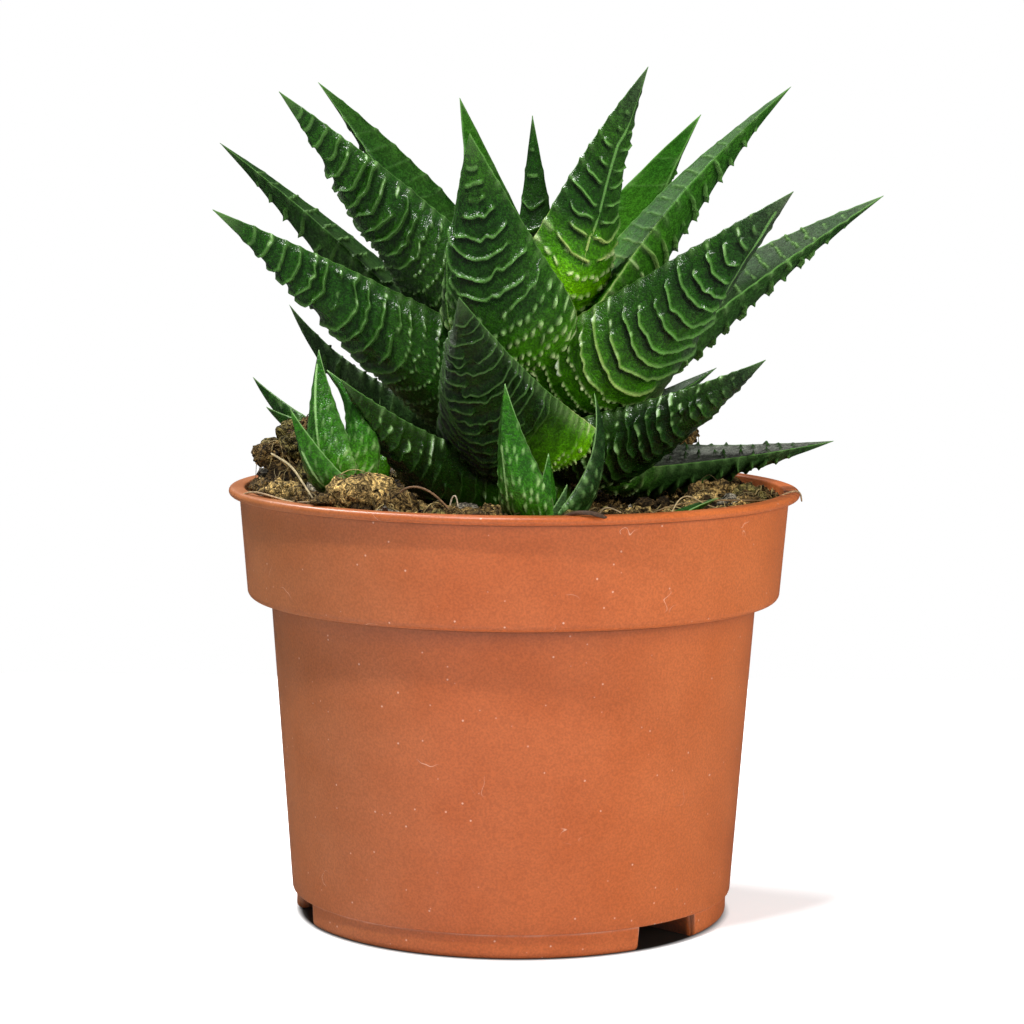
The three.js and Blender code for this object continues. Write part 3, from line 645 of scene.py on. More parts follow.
def foot_body(offset):
    """The offset's foot: a short stump, rings of one radius that narrow at its lower end."""
    x, y, z = offset["foot"]
    angle = np.linspace(0, 2 * np.pi, 20, endpoint=False)[None, :]
    size, height = FOOT_RINGS[:, :1] * offset["radius"], FOOT_RINGS[:, 1:] + z
    grid = np.stack([x + size * np.cos(angle), y + size * np.sin(angle), height + 0 * angle], -1)
    points, quads, tris = closed_skin(grid)
    return points, quads, tris, np.tile(FOOT_MARKS, (len(points), 1))


def offset_body(offset, ridge_height):
    """An offset: its young leaves round one foot, all as one body."""
    x, y, z = offset["foot"]
    bodies = []
    for leaf in offset["leaves"]:
        place = dict(centre=(x, y), root=(0.5, z), tip=(leaf["tip"][0], z + leaf["tip"][1]))
        bodies.append(leaf_body({**PLAIN_LEAF, **YOUNG_LEAF, **leaf, **place}, ridge_height))
    return merged(bodies + [foot_body(offset)])


# Materials

def new_group(name, inputs, outputs):
    """A shader node group with float or colour inputs and outputs. Gives the group and its two end nodes."""
    group = bpy.data.node_groups.new(name, "ShaderNodeTree")
    for label, kind, value in inputs:
        group.interface.new_socket(label, in_out="INPUT", socket_type=kind).default_value = value
    for label, kind in outputs:
        group.interface.new_socket(label, in_out="OUTPUT", socket_type=kind)
    return group, group.nodes.new("NodeGroupInput"), group.nodes.new("NodeGroupOutput")


def new_material(name):
    """A material with nodes. Gives it, its tree and its shader."""
    material = bpy.data.materials.new(name)
    material.use_nodes = True
    return material, material.node_tree, material.node_tree.nodes["Principled BSDF"]


def add(tree, kind, **values):
    """A node with its properties and its unlinked sockets set. Socket names have _ for a space."""
    node = tree.nodes.new(kind)
    for key, value in values.items():
        if hasattr(node, key):
            setattr(node, key, value)
        else:
            node.inputs[key.replace("_", " ")].default_value = value
    return node


def feed(tree, socket, value):
    """Links a socket's value into another socket, or sets it to a number or a colour."""
    if isinstance(value, bpy.types.NodeSocket):
        tree.links.new(value, socket)
    elif isinstance(value, (int, float)):
        socket.default_value = value
    else:
        socket.default_value = (*value, 1)


def math_node(tree, operation, first, second=None, clamp=False):
    """A math node on numbers or sockets. Gives its output socket."""
    node = add(tree, "ShaderNodeMath", operation=operation, use_clamp=clamp)
    feed(tree, node.inputs[0], first)
    if second is not None:
        feed(tree, node.inputs[1], second)
    return node.outputs[0]


def times(tree, first, second, clamp=False):
    """The product of two numbers or sockets."""
    return math_node(tree, "MULTIPLY", first, second, clamp)


def mix_colour(tree, factor, first, second, blend="MIX"):
    """A colour mix. Gives its output socket."""
    node = add(tree, "ShaderNodeMix", data_type="RGBA", blend_type=blend)
    for index, value in ((0, factor), (6, first), (7, second)):
        feed(tree, node.inputs[index], value)
    return node.outputs[2]


def ranged(tree, value, low, high, out_low=0.0, out_high=1.0):
    """A value mapped from one range to another and clamped."""
    node = tree.nodes.new("ShaderNodeMapRange")
    for index, part in enumerate((value, low, high, out_low, out_high)):
        feed(tree, node.inputs[index], part)
    return node.outputs[0]


def band(tree, distance, inner, outer):
    """1 where the distance from nought is below inner, 0 past outer."""
    return ranged(tree, distance, inner, outer, 1.0, 0.0)


def tinted(tree, colour, factor, tint):
    """The colour, multiplied by a tint as far as the factor says."""
    return mix_colour(tree, factor, colour, mix_colour(tree, 1.0, colour, tint, "MULTIPLY"))


def shaded(tree, colour, value, low, high, dim, bright):
    """The colour times a grey that goes from dim to bright as the value goes from low to high."""
    grey = mix_colour(tree, ranged(tree, value, low, high), (dim,) * 3, (bright,) * 3)
    return mix_colour(tree, 1.0, colour, grey, "MULTIPLY")


def texture(tree, where, kind, **values):
    """A texture node on the piece's own coordinates, which the node where gives."""
    node = add(tree, kind, **values)
    tree.links.new(where.outputs["Object"], node.inputs["Vector"])
    return node


def attribute(tree, name):
    """A piece's attribute. Gives its colour and its fourth part."""
    node = add(tree, "ShaderNodeAttribute", attribute_name=name)
    return node.outputs["Color"], node.outputs["Alpha"]


def parted(tree, colour):
    """The red, green and blue of a colour as three sockets."""
    node = tree.nodes.new("ShaderNodeSeparateColor")
    tree.links.new(colour, node.inputs[0])
    return node.outputs[:3]


def grain_group():
    """Fine pebbled grain: two sizes of cells, as a height, and a wide soft mottle."""
    name = "Pebbled grain"
    if name in bpy.data.node_groups:
        return bpy.data.node_groups[name]
    group, start, end = new_group(name, [("Scale", "NodeSocketFloat", 1.0)],
                                  [("Height", "NodeSocketFloat"), ("Mottle", "NodeSocketFloat")])
    where = group.nodes.new("ShaderNodeTexCoord")
    fine = texture(group, where, "ShaderNodeTexVoronoi", feature="SMOOTH_F1", Smoothness=0.6)
    rough = texture(group, where, "ShaderNodeTexNoise", Detail=3.0, Roughness=0.6)
    wide = texture(group, where, "ShaderNodeTexNoise", Detail=2.0)
    for node, scale in ((fine, 2600), (rough, 900), (wide, 70)):
        group.links.new(times(group, start.outputs[0], scale), node.inputs["Scale"])
    cells = math_node(group, "SUBTRACT", 1.0, fine.outputs["Distance"])
    height = math_node(group, "ADD", times(group, cells, 0.5), times(group, rough.outputs["Fac"], 0.8))
    group.links.new(height, end.inputs[0])
    group.links.new(wide.outputs["Fac"], end.inputs[1])
    return group


def grained(tree, scale):
    """The grain group, placed in a tree at a scale. Gives its height and its mottle."""
    node = tree.nodes.new("ShaderNodeGroup")
    node.node_tree = grain_group()
    node.inputs["Scale"].default_value = scale
    return node.outputs["Height"], node.outputs["Mottle"]


def bumped(tree, height, shader, strength, distance):
    """Bumps the shader's normal by a height."""
    bump = add(tree, "ShaderNodeBump", Strength=strength, Distance=distance)
    tree.links.new(height, bump.inputs["Height"])
    tree.links.new(bump.outputs[0], shader.inputs["Normal"])


def leaf_material(name, settings, dark=0.0, young=0.0, matt=0.0):
    """Waxy green skin. The piece's marks paint the ridges with a painted shadow in the groove behind each,
    the pale lines and margins, the bright root with a painted glow where it is brightest and painted shade
    below nought, the white bead tops with painted highlights (the glints), and the worn tone, whose palest
    step is partly painted light on the upper face."""
    material, tree, shader = new_material(name)
    marks, worn = attribute(tree, "marks")
    near, behind = attribute(tree, "near")
    strength, glow, white = parted(tree, marks)
    gap, to_line, to_margin = parted(tree, near)
    height, mottle = grained(tree, 1.0)
    skin = np.array(settings.skin) * (1 - 0.4 * dark) + young * np.array((0.004, 0.040, 0.000))
    lighter_skin = skin * (1.7, 1.45, 1.2) + np.array((0.003, 0.006, 0.0))
    crest = np.array(settings.crest) + young * np.array((0.17, 0.22, 0.12))
    root = np.array(settings.glow)
    painted_root_glow = root * (2.6, 1.9, 0.5)
    worn_green, worn_brown, worn_pale_and_lit = (0.036, 0.070, 0.026), (0.062, 0.062, 0.052), (0.19, 0.195, 0.17)
    deep_shade, ridge_shadow_tone, root_crest = (0.003, 0.012, 0.002), (0.0, 0.008, 0.0), (0.66, 0.76, 0.22)
    bead_top, root_bead_top, painted_glint = (0.20, 0.38, 0.11), (0.78, 0.86, 0.42), (0.55, 0.66, 0.48)

    colour = mix_colour(tree, ranged(tree, mottle, 0.38, 0.68), skin, lighter_skin)
    worn_tone = mix_colour(tree, ranged(tree, mottle, 0.4, 0.62), worn_green, worn_brown)
    colour = mix_colour(tree, times(tree, worn, 0.8, clamp=True), colour, worn_tone)
    # partly painted light: the palest worn tone is the upper face's grey, brightened for the light that falls
    # on it from above
    colour = mix_colour(tree, ranged(tree, worn, 1.4, 2.2), colour, worn_pale_and_lit)
    colour = mix_colour(tree, times(tree, glow, 1.0, clamp=True), colour, root)
    shade = times(tree, glow, -0.8, clamp=True)
    colour = mix_colour(tree, shade, colour, deep_shade)
    # painted glow: the brightest root tone stands in for light shining through the leaf's root
    colour = mix_colour(tree, ranged(tree, glow, 0.75, 1.35), colour, painted_root_glow)
    colour = shaded(tree, colour, height, 0.55, 1.0, 0.5, 1.5)

    strength = times(tree, strength, math_node(tree, "SUBTRACT", 1.0, shade))
    # painted shadow: a dark band just behind each ridge, where the ridge shades the skin
    ridge_shadow = times(tree, band(tree, behind, 0.35, 1.5), times(tree, strength, 1.4, clamp=True))
    colour = mix_colour(tree, times(tree, ridge_shadow, 0.85), colour, ridge_shadow_tone)
    ridge = times(tree, band(tree, gap, 0.14, 0.38), strength)
    on_line = band(tree, math_node(tree, "ABSOLUTE", to_line), 0.12, 0.3)
    rim = math_node(tree, "MAXIMUM", on_line, times(tree, band(tree, to_margin, 0.12, 0.38), 0.7))
    pale = times(tree, math_node(tree, "MAXIMUM", ridge, rim), 0.85, clamp=True)
    pale_tone = mix_colour(tree, times(tree, glow, 1.4, clamp=True), crest, root_crest)
    colour = mix_colour(tree, pale, colour, pale_tone)
    top = mix_colour(tree, times(tree, glow, 1.1, clamp=True), bead_top, root_bead_top)
    colour = mix_colour(tree, times(tree, white, 0.9, clamp=True), colour, top)
    # painted highlights: white marks over 1 are the glints
    colour = mix_colour(tree, ranged(tree, white, 1.0, 2.0), colour, painted_glint)
    tree.links.new(colour, shader.inputs["Base Color"])

    gloss = ranged(tree, height, 0.5, 1.0, 0.36 + 0.15 * matt, 0.18 + 0.2 * matt)
    dull = math_node(tree, "ADD", gloss, times(tree, worn, 0.3), clamp=True)
    tree.links.new(dull, shader.inputs["Roughness"])
    shader.inputs["Specular IOR Level"].default_value = 0.6 - 0.45 * matt
    bumped(tree, height, shader, 0.7, 0.0003)
    return material


def stem_material(settings):
    """Green flesh of the stem: mottled from the skin's dark green to the bright tone of the roots, with fine
    grain."""
    material, tree, shader = new_material("Stem")
    height, mottle = grained(tree, 1.0)
    flesh = np.array(settings.glow) * (0.8, 0.6, 1)
    colour = mix_colour(tree, ranged(tree, mottle, 0.35, 0.7), settings.skin, flesh)
    tree.links.new(shaded(tree, colour, height, 0.55, 1.0, 0.6, 1.4), shader.inputs["Base Color"])
    tree.links.new(ranged(tree, height, 0.5, 1.0, 0.5, 0.3), shader.inputs["Roughness"])
    bumped(tree, height, shader, 0.7, 0.0003)
    return material


def pot_material(settings):
    """Moulded terracotta-coloured plastic: faint clouding, a painted greyish reflection on the left side and
    painted light on the right side, grit, fine upright scuffs, pale specks of dust, a worn pale line along
    edges and painted shade in the creases."""
    material, tree, shader = new_material("Terracotta plastic")
    where = tree.nodes.new("ShaderNodeTexCoord")
    worn, painted_crease_shade, _ = parted(tree, attribute(tree, "marks")[0])
    scuff_tone, dust_tone, worn_tone = (0.80, 0.50, 0.36), (0.78, 0.52, 0.40), (0.80, 0.60, 0.50)
    crease_shade_tone, painted_reflection_tint, painted_light_tint = (0.10, 0.03, 0.015), (0.84, 1.17, 1.40), (1.20, 1.33, 1.33)

    cloud = texture(tree, where, "ShaderNodeTexNoise", Scale=75.0, Detail=5.0, Roughness=0.6).outputs["Fac"]
    base = np.array(settings.colour)
    colour = mix_colour(tree, ranged(tree, cloud, 0.35, 0.65), base * (0.92, 0.88, 0.86), base)
    spot = tree.nodes.new("ShaderNodeSeparateXYZ")
    tree.links.new(where.outputs["Object"], spot.inputs[0])
    # painted reflection and painted light: a greyer, bluer left side and a paler right side stand in for how
    # the lamps fall on the wall
    colour = tinted(tree, colour, band(tree, spot.outputs["X"], -0.052, -0.012), painted_reflection_tint)
    colour = tinted(tree, colour, ranged(tree, spot.outputs["X"], 0.012, 0.052), painted_light_tint)
    grit = texture(tree, where, "ShaderNodeTexNoise", Scale=2200.0, Detail=2.0)
    colour = shaded(tree, colour, grit.outputs["Fac"], 0.35, 0.65, 0.86, 1.12)

    scuff = texture(tree, where, "ShaderNodeTexNoise", Scale=190.0, Detail=1.0)
    middle = math_node(tree, "ABSOLUTE", math_node(tree, "SUBTRACT", scuff.outputs["Fac"], 0.5))
    patches = texture(tree, where, "ShaderNodeTexVoronoi", Scale=150.0)
    few = ranged(tree, parted(tree, patches.outputs["Color"])[1], 0.86, 0.90)
    near_patch = times(tree, few, band(tree, patches.outputs["Distance"], 0.2, 0.4))
    lines = times(tree, band(tree, middle, 0.002, 0.006), near_patch)
    colour = mix_colour(tree, times(tree, lines, 0.55), colour, scuff_tone)
    dots = texture(tree, where, "ShaderNodeTexVoronoi", Scale=620.0)
    some = ranged(tree, parted(tree, dots.outputs["Color"])[0], 0.84, 0.87)
    specks = times(tree, band(tree, dots.outputs["Distance"], 0.08, 0.16), some)
    colour = mix_colour(tree, times(tree, specks, 0.6), colour, dust_tone)
    colour = mix_colour(tree, times(tree, worn, 0.8, clamp=True), colour, worn_tone)
    # painted shade in the creases
    colour = mix_colour(tree, times(tree, painted_crease_shade, 1.0, clamp=True), colour, crease_shade_tone)
    tree.links.new(colour, shader.inputs["Base Color"])
    tree.links.new(ranged(tree, cloud, 0.35, 0.65, 0.36, 0.48), shader.inputs["Roughness"])
    shader.inputs["Specular IOR Level"].default_value = 0.6
    bumped(tree, grained(tree, 0.5)[0], shader, 0.2, 0.00012)
    return material


def soil_material():
    """Peat: the piece's marks hold its tone. Swirled noise of many sizes breaks it up into shreds from near
    black to straw, and cells of fine grit roughen it."""
    material, tree, shader = new_material("Peat")
    peat, _ = attribute(tree, "marks")
    where = tree.nodes.new("ShaderNodeTexCoord")
    shreds = texture(tree, where, "ShaderNodeTexNoise", Scale=520.0, Detail=6.0, Roughness=0.72,
                     Distortion=2.2).outputs["Fac"]
    grit = texture(tree, where, "ShaderNodeTexVoronoi", Scale=2600.0)
    near_black, brown, straw = (0.07, 0.06, 0.05), (0.9, 0.85, 0.8), (3.4, 3.2, 2.6)
    tint = mix_colour(tree, ranged(tree, shreds, 0.40, 0.50), near_black, brown)
    tint = mix_colour(tree, ranged(tree, shreds, 0.50, 0.62), tint, straw)
    pit = ranged(tree, grit.outputs["Distance"], 0.35, 0.8, 1.0, 0.45)
    colour = mix_colour(tree, 1.0, mix_colour(tree, 1.0, peat, tint, "MULTIPLY"), pit, "MULTIPLY")
    tree.links.new(colour, shader.inputs["Base Color"])
    shader.inputs["Roughness"].default_value = 0.9
    shader.inputs["Specular IOR Level"].default_value = 0.2
    bumped(tree, math_node(tree, "ADD", times(tree, shreds, 3.0), pit), shader, 0.9, 0.0005)
    return material


def coir_material():
    """Coir and roots: the piece's marks hold the tone, streaked by fine noise."""
    material, tree, shader = new_material("Coir")
    tone, _ = attribute(tree, "marks")
    height, _ = grained(tree, 0.7)
    tree.links.new(shaded(tree, tone, height, 0.55, 0.95, 0.6, 1.4), shader.inputs["Base Color"])
    shader.inputs["Roughness"].default_value = 0.7
    bumped(tree, height, shader, 0.5, 0.0002)
    return material


# Pot

FOOT_RADIUS = 45.7
COLLAR_RADIUS = 57.8
LIP_HEIGHT = 1.8
RECESS_ROOF = 5.0
RECESS_FROM = 28            # the foot's recesses start at this radius
RECESS_HALF_WIDTH = 8.5
RECESS_BEARINGS = (75, 195, 315)
RECESS_SHARE = 0.3          # share of the grid's columns that a recess takes
SEAM_LEVEL = 5.05
SHOULDER_LEVEL = 67.2


def pot_profile(height, lip_radius):
    """Outer line of the pot from the middle of its base to the lip, over it and down the inside to the
    floor."""
    def arc(radius, z, size, start, end, count):
        angle = np.radians(np.linspace(start, end, count))
        return np.stack([radius + size * np.cos(angle), z + size * np.sin(angle)], -1)

    def line(start, end, count):
        return np.linspace(start, end, count, endpoint=False)[1:]

    foot, collar, lip, top = FOOT_RADIUS, COLLAR_RADIUS, height - LIP_HEIGHT, height
    base = [line((0.5, 0), (26, 0), 5), line((26, 0), (29, 0), 5), line((29, 0), (44, 0), 16), [[44.2, 0]]]
    foot_band = [arc(foot - 1.5, 1.5, 1.5, -90, 0, 6), [[foot, 3.4], [foot, 4.6], [foot, 4.9]]]
    seam = [[[foot + 0.05, 5.1], [46.5, 5.25], [46.6, 5.5]]]
    wall = [line((46.6, 5.5), (51.1, 66.5), 14)]
    shoulder = [[[51.1, 66.6], [51.3, 67.1], [51.7, 67.3]], line((51.7, 67.4), (54.6, 67.4), 3),
                arc(54.6, 68.9, 1.5, -90, 0, 8)]
    collar_wall = [line((56.1, 68.9), (collar - 0.1, lip - 0.6), 8)]
    rolled_lip = [[[collar - 0.1, lip - 0.5], [collar, lip - 0.15], [collar + 0.3, lip], [59.0, lip]],
                  arc(lip_radius - 0.9, lip + 0.9, 0.9, -80, 80, 9), [[58.6, top], [57.6, top]],
                  arc(57.1, top - 0.5, 0.5, 90, 180, 5)]
    inside = [line((56.6, lip), (54.9, 68.9), 8), [[54.7, 68.5], [50.4, 68.2], [49.9, 67.7]],
              line((49.9, 67.6), (45.4, 7), 10), [[45.4, 6.6], [44.5, 6.2]]]
    floor = [line((44, 6.2), (0.5, 6.2), 10)]
    parts = base + foot_band + seam + wall + shoulder + collar_wall + rolled_lip + inside + floor
    return np.vstack([np.asarray(part, float).reshape(-1, 2) for part in parts])


def pot_columns(sides):
    """Columns of a third of the pot, from -1 to 1: even ones, and pairs of close ones at the recess's two
    sides."""
    share, close = RECESS_SHARE, 0.004
    columns = np.linspace(-1, 1, sides, endpoint=False) + 1 / sides
    pairs = [-share - close, -share + close, share - close, share + close]
    columns = np.sort(np.concatenate([columns, pairs]))
    from_side = np.abs(np.abs(columns) - share)
    return columns[(from_side > 3 * close) | (from_side < 1.25 * close)]


def pot_body(settings):
    """A profile turned about the pot's axis. Where the foot has a recess, every point of the outer skin that
    would lie lower is lifted to the recess's roof. The grid's lines run along the recesses' straight sides.
    Marks: worn seam and painted shade in the creases under the collar and the lip, and on the wall just below
    the collar."""
    top = settings.height / MM
    profile = pot_profile(top, settings.lip_radius / MM)
    columns = pot_columns(settings.sides // 3)
    radius, z = profile[:, :1], profile[:, 1:]
    edge = np.arcsin(RECESS_HALF_WIDTH / np.maximum(radius, RECESS_FROM))
    spread = np.abs(columns[None, :])
    inside = spread < RECESS_SHARE
    beyond = edge + (spread - RECESS_SHARE) / (1 - RECESS_SHARE) * (np.pi / 3 - edge)
    angle = np.sign(columns) * np.where(inside, spread / RECESS_SHARE * edge, beyond)
    outer = (np.arange(len(z)) < np.argmax(z[:, 0] >= z.max()))[:, None]
    roof = RECESS_ROOF * (inside & (radius > RECESS_FROM)) * outer
    heights = np.where(outer & (z < roof), roof, z) + 0 * angle
    angle = np.concatenate([angle + math.radians(bearing) for bearing in RECESS_BEARINGS], axis=1)
    heights = np.concatenate([heights] * len(RECESS_BEARINGS), axis=1)
    grid = np.stack([radius * np.cos(angle), radius * np.sin(angle), heights], -1)
    points, quads, tris = closed_skin(grid)

    level, from_axis = points[:, 2], np.hypot(points[:, 0], points[:, 1])
    on_seam = np.exp(-((level - SEAM_LEVEL) / 0.12) ** 2) * (from_axis > 44)
    worn = on_seam * (0.3 + 0.5 * smooth(-0.3, 0.3, noise(points, 2.0, 3)))
    # painted shade: under the collar's overhang, under the lip and on the wall just below the collar
    under_collar = np.exp(-((level - SHOULDER_LEVEL) / 0.45) ** 2) * (from_axis < 52) * (from_axis > 50.5)
    under_lip = np.exp(-((level - top + 1.9) / 0.2) ** 2) * (from_axis > 57.6) * (from_axis < 58.6)
    on_wall = smooth(62, 67.3, level) * (from_axis < 51.9) * (from_axis > 49)
    painted_crease_shade = 0.8 * (1.2 * under_collar + 0.8 * under_lip + 0.08 * on_wall)
    return points, quads, tris, np.stack([worn, painted_crease_shade, 0 * worn, 0 * worn + 1], -1)


# Soil

RIM_LEVEL = 88.7        # level of the soil at the pot's wall
HOLLOW = 2.0            # how far it dips round the plant
CLODS = 130
SOIL_WALL = np.array([[1, 7], [44.0, 7], [45.0, 9.5], [49.4, 67], [54.3, 69.5], [56.2, 86]])

# Heaps of soil as x, y, height and spread
HEAPS = [(-40, 6, 10.5, 8), (-48, 0, 8.5, 6.5), (-51, -8, 5, 6), (-28, -8, 5, 8), (36, 26, 11, 6),
         (-34, -38, 3.5, 8), (48, -22, 1.5, 8)]

# Tones of the peat from near black over brown and straw to grey and olive
PEAT_TONES = np.array([(0.07, 0.045, 0.02), (0.20, 0.135, 0.055), (0.50, 0.36, 0.15), (0.30, 0.28, 0.24),
                       (0.21, 0.18, 0.065)])

# Lumps that stand out, as x, y, lift of the middle over the soil, three radii and a tone of PEAT_TONES
LUMPS = [
    (-30, -41, 1.6, (6.2, 4, 3.6), 2), (-23, -43, 0.8, (4.2, 3.2, 3.8), 1), (-36, -41, 0.6, (4, 3, 2.8), 1),
    (-47, -25, 1.2, (4.6, 3.4, 3.2), 2), (-41, -33, 0.2, (3.6, 3, 2.4), 1),
    (-15, -46, 0.4, (3, 2.4, 2.4), 1), (-52, -14, 0.8, (3, 3.4, 2.6), 1),
    (-51, -21, 0.2, (1.8, 1.4, 1.2), 3), (-25, -49.5, 0.2, (2.6, 1.8, 1.6), 3),
    (-46, -3, 0.6, (3.2, 3, 2.6), 4), (-43, 2, 0.8, (3.2, 3, 2.8), 1), (-51, -5, 0.8, (3.2, 2.8, 2.4), 1),
    (-51, 1, 0.3, (2.6, 2.8, 2.4), 4), (-47, 3, 0.8, (2.8, 2.6, 2.6), 4), (-43, -7, 0.4, (3, 2.6, 2.6), 4),
    (-38, 12, 1.4, (4, 3.6, 3), 4), (-36, 2, 1.2, (4, 3.4, 3), 1), (35, 26, 1, (5.2, 4, 3.4), 1),
    (-9, -49, 0.4, (2.4, 2, 1.8), 1), (23, -50, -0.2, (2.4, 1.8, 1.6), 1),
    (47, -27, 0.4, (3.2, 2.6, 1.6), 1), (44, -33, 0.3, (3, 2.4, 1.8), 2), (52, -10, 0.2, (2.4, 2.8, 1.6), 1),
    (38, -27, 0.4, (3.6, 2.6, 2.2), 2), (40, -20, 0.8, (4.4, 3.2, 3), 1), (48, -20, 0.5, (3.2, 2.8, 2.2), 4),
    (30, -50, 0, (2.6, 1.8, 1.5), 2),
]

# Single roots and twigs that stand out, as points to pass near, a radius and a tone
ROOTS = [
    ([(-49, -30, 99.7), (-45, -31, 97.5), (-43, -33, 95), (-40, -36, 91)], 0.24, (0.55, 0.45, 0.25)),
    ([(-24, -44, 92), (-21, -46, 95), (-17, -47, 94.5), (-13, -48, 91), (-11, -49, 88)],
     0.24, (0.2, 0.11, 0.05)),
    ([(-13, -47, 88), (-12.5, -47, 92.5), (-11.5, -48, 93.6), (-11, -48, 91)], 0.16, (0.62, 0.5, 0.36)),
    ([(-56, -19, 90), (-53, -25, 91.5), (-49, -30, 91), (-44, -34, 90), (-38, -38, 91)],
     0.25, (0.42, 0.28, 0.14)),
    ([(22, -50, 88), (30, -46, 91.5), (39, -40, 92), (47, -31, 91), (54, -20, 90)],
     0.18, (0.24, 0.16, 0.07)),
    ([(30, -48, 89), (33, -44, 94), (38, -41, 91), (44, -37, 89)], 0.15, (0.4, 0.3, 0.15)),
    ([(7, -54, 88.5), (11, -56.5, 91), (14, -58.5, 91.4), (17, -57.5, 90.6), (19, -55, 89)],
     0.45, (0.09, 0.05, 0.03)),
    ([(52, -16, 89), (57, -14, 91.2), (59, -13.5, 91.2), (59.4, -13.5, 89)], 0.22, (0.32, 0.2, 0.1)),
    ([(16, -49, 88), (17, -49, 91.5), (20, -50, 91), (24, -50, 88)], 0.16, (0.4, 0.29, 0.16)),
]


def soil_height(x, y):
    """Height of the soil: level at the wall, a little hollow round the plant and beside the right front
    offset, with heaps and crumbly noise."""
    level = RIM_LEVEL - HOLLOW * (1 - smooth(12, 50, np.hypot(x - PLANT_X, y)))
    for heap_x, heap_y, height, spread in HEAPS:
        level = level + height * np.exp(-((x - heap_x) ** 2 + (y - heap_y) ** 2) / spread ** 2)
    level = level - 2.6 * smooth(9, 4, np.hypot(0.6 * (x - 34), y + 44))
    inside = smooth(56.5, 51, np.hypot(x, y))
    flat = np.stack(np.broadcast_arrays(x, y), -1)
    waves = 0.8 * noise(flat, 5, 1) + 0.6 * noise(flat, 2.2, 2)
    return RIM_LEVEL + (level - RIM_LEVEL) * inside + waves * (0.5 + 0.5 * inside)


def soil_level(x, y):
    """Height of the soil at one place."""
    return float(soil_height(np.array(x), np.array(y)))


def top_height(x, y):
    """Height of the soil or of the lump that lies over it."""
    top = soil_height(x, y)
    for lump_x, lump_y, lift, radii, _ in LUMPS:
        inside = 1 - ((x - lump_x) / radii[0]) ** 2 - ((y - lump_y) / radii[1]) ** 2
        over = soil_level(lump_x, lump_y) + lift + radii[2] * np.sqrt(np.maximum(inside, 0))
        top = np.where(inside > 0, np.maximum(top, over), top)
    return top


def kept_in_pot(points):
    """Draws the points below the top of the lip in to the inside of the pot's wall."""
    reach = np.hypot(points[:, 0], points[:, 1])
    pull = np.minimum(1, POT_INSIDE / np.maximum(reach, 1e-6))
    points[:, :2] *= np.where(points[:, 2:] < LIP_TOP, pull[:, None], 1)
    return points


def with_tone(tones):
    """Marks of points from their tones: the fourth number is 1."""
    return np.hstack([tones, np.ones((len(tones), 1))])


def soil_body(settings):
    """The filling: rings on the wall, then rings over the top whose heights follow the soil's level and two
    finer noises of crumbs. Its tone wanders over wide patches and is darker in the hollows of those noises, a
    painted shade."""
    angle = np.linspace(0, 2 * np.pi, 300, endpoint=False)[None, :]
    radius = np.concatenate([SOIL_WALL[:, 0], POT_INSIDE * np.sqrt(np.linspace(0.998, 0.0001, 96))])[:, None]
    x, y = radius * np.cos(angle), radius * np.sin(angle)
    flat = np.stack([x, y], -1)
    heights = soil_height(x, y) + 0.55 * noise(flat, 1.1, 6) + 0.35 * noise(flat, 0.6, 8)
    heights[:len(SOIL_WALL)] = SOIL_WALL[:, 1:]
    points, quads, tris = closed_skin(np.stack([x, y, heights], -1))
    flat = points[:, :2]
    patch = smooth(-0.4, 0.5, noise(flat, 6, 11))[:, None]
    # painted shade: darker where the crumb noises dip
    hollow = smooth(-0.5, 0.6, noise(flat, 2.2, 2) + noise(flat, 1.1, 6))[:, None]
    tone = np.array(settings.colour) * (0.6 + 0.8 * patch) * (0.35 + 0.8 * hollow)
    return points, quads, tris, with_tone(tone)


def ball(levels):
    """A ball: the twenty-sided solid, each of whose faces is split in four as many times as levels says."""
    golden = (1 + 5 ** 0.5) / 2
    points = np.array([(-1, golden, 0), (1, golden, 0), (-1, -golden, 0), (1, -golden, 0),
                       (0, -1, golden), (0, 1, golden), (0, -1, -golden), (0, 1, -golden),
                       (golden, 0, -1), (golden, 0, 1), (-golden, 0, -1), (-golden, 0, 1)], float)
    face = np.array([(0, 11, 5), (0, 5, 1), (0, 1, 7), (0, 7, 10), (0, 10, 11),
                     (1, 5, 9), (5, 11, 4), (11, 10, 2), (10, 7, 6), (7, 1, 8),
                     (3, 9, 4), (3, 4, 2), (3, 2, 6), (3, 6, 8), (3, 8, 9),
                     (4, 9, 5), (2, 4, 11), (6, 2, 10), (8, 6, 7), (9, 8, 1)])
    for _ in range(levels):
        ends = np.sort(np.concatenate([face[:, [0, 1]], face[:, [1, 2]], face[:, [2, 0]]]), axis=1)
        unique, inverse = np.unique(ends, axis=0, return_inverse=True)
        ab, bc, ca = inverse.reshape(3, -1) + len(points)
        points = np.vstack([points, points[unique].mean(1)])
        a, b, c = face.T
        quarters = (a, ab, ca), (b, bc, ab), (c, ca, bc), (ab, bc, ca)
        face = np.concatenate([np.stack(quarter, -1) for quarter in quarters])
    return points / np.linalg.norm(points, axis=1, keepdims=True), face


CRUMB_BALL, CLOD_BALL, LUMP_BALL = ball(0), ball(2), ball(3)
NO_QUADS = np.zeros((0, 4), int)


